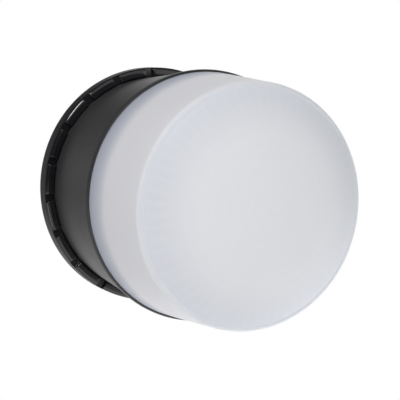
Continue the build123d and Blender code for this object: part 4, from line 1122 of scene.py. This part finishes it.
@dataclass
class Studio:
    """Camera, pale floor, bright surroundings and soft lights.

    Attributes:
        azimuth: camera's angle round Z, degrees; 0 looks along +Y.
        elevation: camera's angle above the level, degrees.
        distance: from the rim's centre to the camera, measured along the view.
        shift_right: how far the rim's centre stands right of the view's middle.
        shift_up: how far it stands above the view's middle.
        lens: focal length in millimetres on a 36 mm sensor.
        floor_drop: how far the floor lies below the object's axis.
        floor_half: half the floor's width.
        floor_cells: number of faces along its side.
        aim_depth: depth of the point on the axis that the soft boxes face.
    """

    azimuth: float = -26.37
    elevation: float = 6.95
    distance: float = 0.510
    shift_right: float = 2.3 * MM
    shift_up: float = 1.4 * MM
    lens: float = 113.9
    floor_drop: float = 0.32
    floor_half: float = 6.0
    floor_cells: int = 8
    aim_depth: float = 0.06

    def build(self) -> None:
        """Builds the whole studio."""
        rim = Vector((0.0, -node_depths("body_shell")[1], 0.0))
        self.build_camera(rim)
        self.build_floor()
        self.build_world()
        for box in BOXES:
            box.build(Vector((0.0, -self.aim_depth, 0.0)))
        bpy.context.scene.view_settings.view_transform = "Standard"

    def build_camera(self, rim: Vector) -> None:
        """Places the camera so that the rim's centre stands at its shift in the view."""
        a, e = math.radians(self.azimuth), math.radians(self.elevation)
        back = Vector((math.sin(a) * math.cos(e), -math.cos(a) * math.cos(e), math.sin(e)))
        right = Vector((math.cos(a), math.sin(a), 0.0))
        up = back.cross(right)
        data = bpy.data.cameras.new("camera")
        data.lens = self.lens
        data.sensor_width = 36.0
        data.clip_start = 0.01
        camera = bpy.data.objects.new("camera", data)
        bpy.context.scene.collection.objects.link(camera)
        place = rim + back * self.distance - right * self.shift_right - up * self.shift_up
        turn = Matrix((right, up, back)).transposed().to_4x4()
        camera.matrix_world = Matrix.Translation(place) @ turn
        bpy.context.scene.camera = camera

    def build_floor(self) -> None:
        """Pale floor well below the object, plain white where the camera sees it."""
        steps = np.linspace(-self.floor_half, self.floor_half, self.floor_cells + 1)
        x, y = np.meshgrid(steps, steps, indexing="ij")
        grid = np.stack([x, y, np.full_like(x, -self.floor_drop)], -1)
        index = np.arange(x.size).reshape(x.shape)
        quads = np.stack([index[:-1, :-1], index[1:, :-1], index[1:, 1:], index[:-1, 1:]], -1)
        mesh = bpy.data.meshes.new("floor")
        mesh.from_pydata(grid.reshape(-1, 3).tolist(), [], quads.reshape(-1, 4).tolist())
        floor = bpy.data.objects.new("floor", mesh)
        bpy.context.scene.collection.objects.link(floor)
        floor.data.materials.append(self.floor_material())

    def floor_material(self) -> bpy.types.Material:
        """Pale matte floor that glows towards the object and is white to the camera."""
        material, tree, shader = new_material("floor")
        place = tree.add("ShaderNodeTexCoord").outputs["Object"]
        outward = tree.add("ShaderNodeVectorMath", {0: place}, operation="NORMALIZE").outputs[0]
        grain = tree.noise(place, 60.0, 4.0)
        rough = tree.math("ADD", 0.7, tree.math("MULTIPLY", grain, 0.3))
        shader.inputs["Base Color"].default_value = (0.75, 0.75, 0.75, 1.0)
        tree.tree.links.new(rough, shader.inputs["Roughness"])
        tree.tree.links.new(summed(tree, outward, FLOOR_GLOW), shader.inputs["Emission Color"])
        shader.inputs["Emission Strength"].default_value = 1.0
        white = tree.add("ShaderNodeEmission", {"Color": (1, 1, 1, 1), "Strength": 1.0})
        seen = tree.add("ShaderNodeLightPath").outputs["Is Camera Ray"]
        both = tree.add(
            "ShaderNodeMixShader", {0: seen, 1: shader.outputs[0], 2: white.outputs[0]}
        )
        out = material.node_tree.nodes["Material Output"]
        tree.tree.links.new(both.outputs[0], out.inputs["Surface"])
        return material

    def build_world(self) -> None:
        """White surroundings for the camera, and the sky's soft patches for everything else."""
        world = bpy.data.worlds.new("studio")
        bpy.context.scene.world = world
        world.use_nodes = True
        tree = Tree(world.node_tree)
        place = tree.add("ShaderNodeTexCoord").outputs["Generated"]
        seen = tree.add("ShaderNodeLightPath").outputs["Is Camera Ray"]
        colour = tree.mix(seen, summed(tree, place, SKY), (1.0, 1.0, 1.0, 1.0))
        world.node_tree.links.new(colour, world.node_tree.nodes["Background"].inputs["Color"])


def main() -> None:
    """Dresses the frame, builds the new pieces and sets up the studio."""
    logging.basicConfig(level=logging.INFO, format="%(name)s: %(message)s")
    opal = OpalFinish("opal_lens", rim_depth=node_depths("body_shell")[1])
    paint = Paintshop([*FINISHES, opal, ClearFinish("clear_optic")])
    paint.dress_frame()
    LockingRing(paint).build()
    LightEngine(paint).build()
    PinSprings(paint).build()
    DriverParts(paint).build()
    Studio().build()


if __name__ == "__main__":
    main()
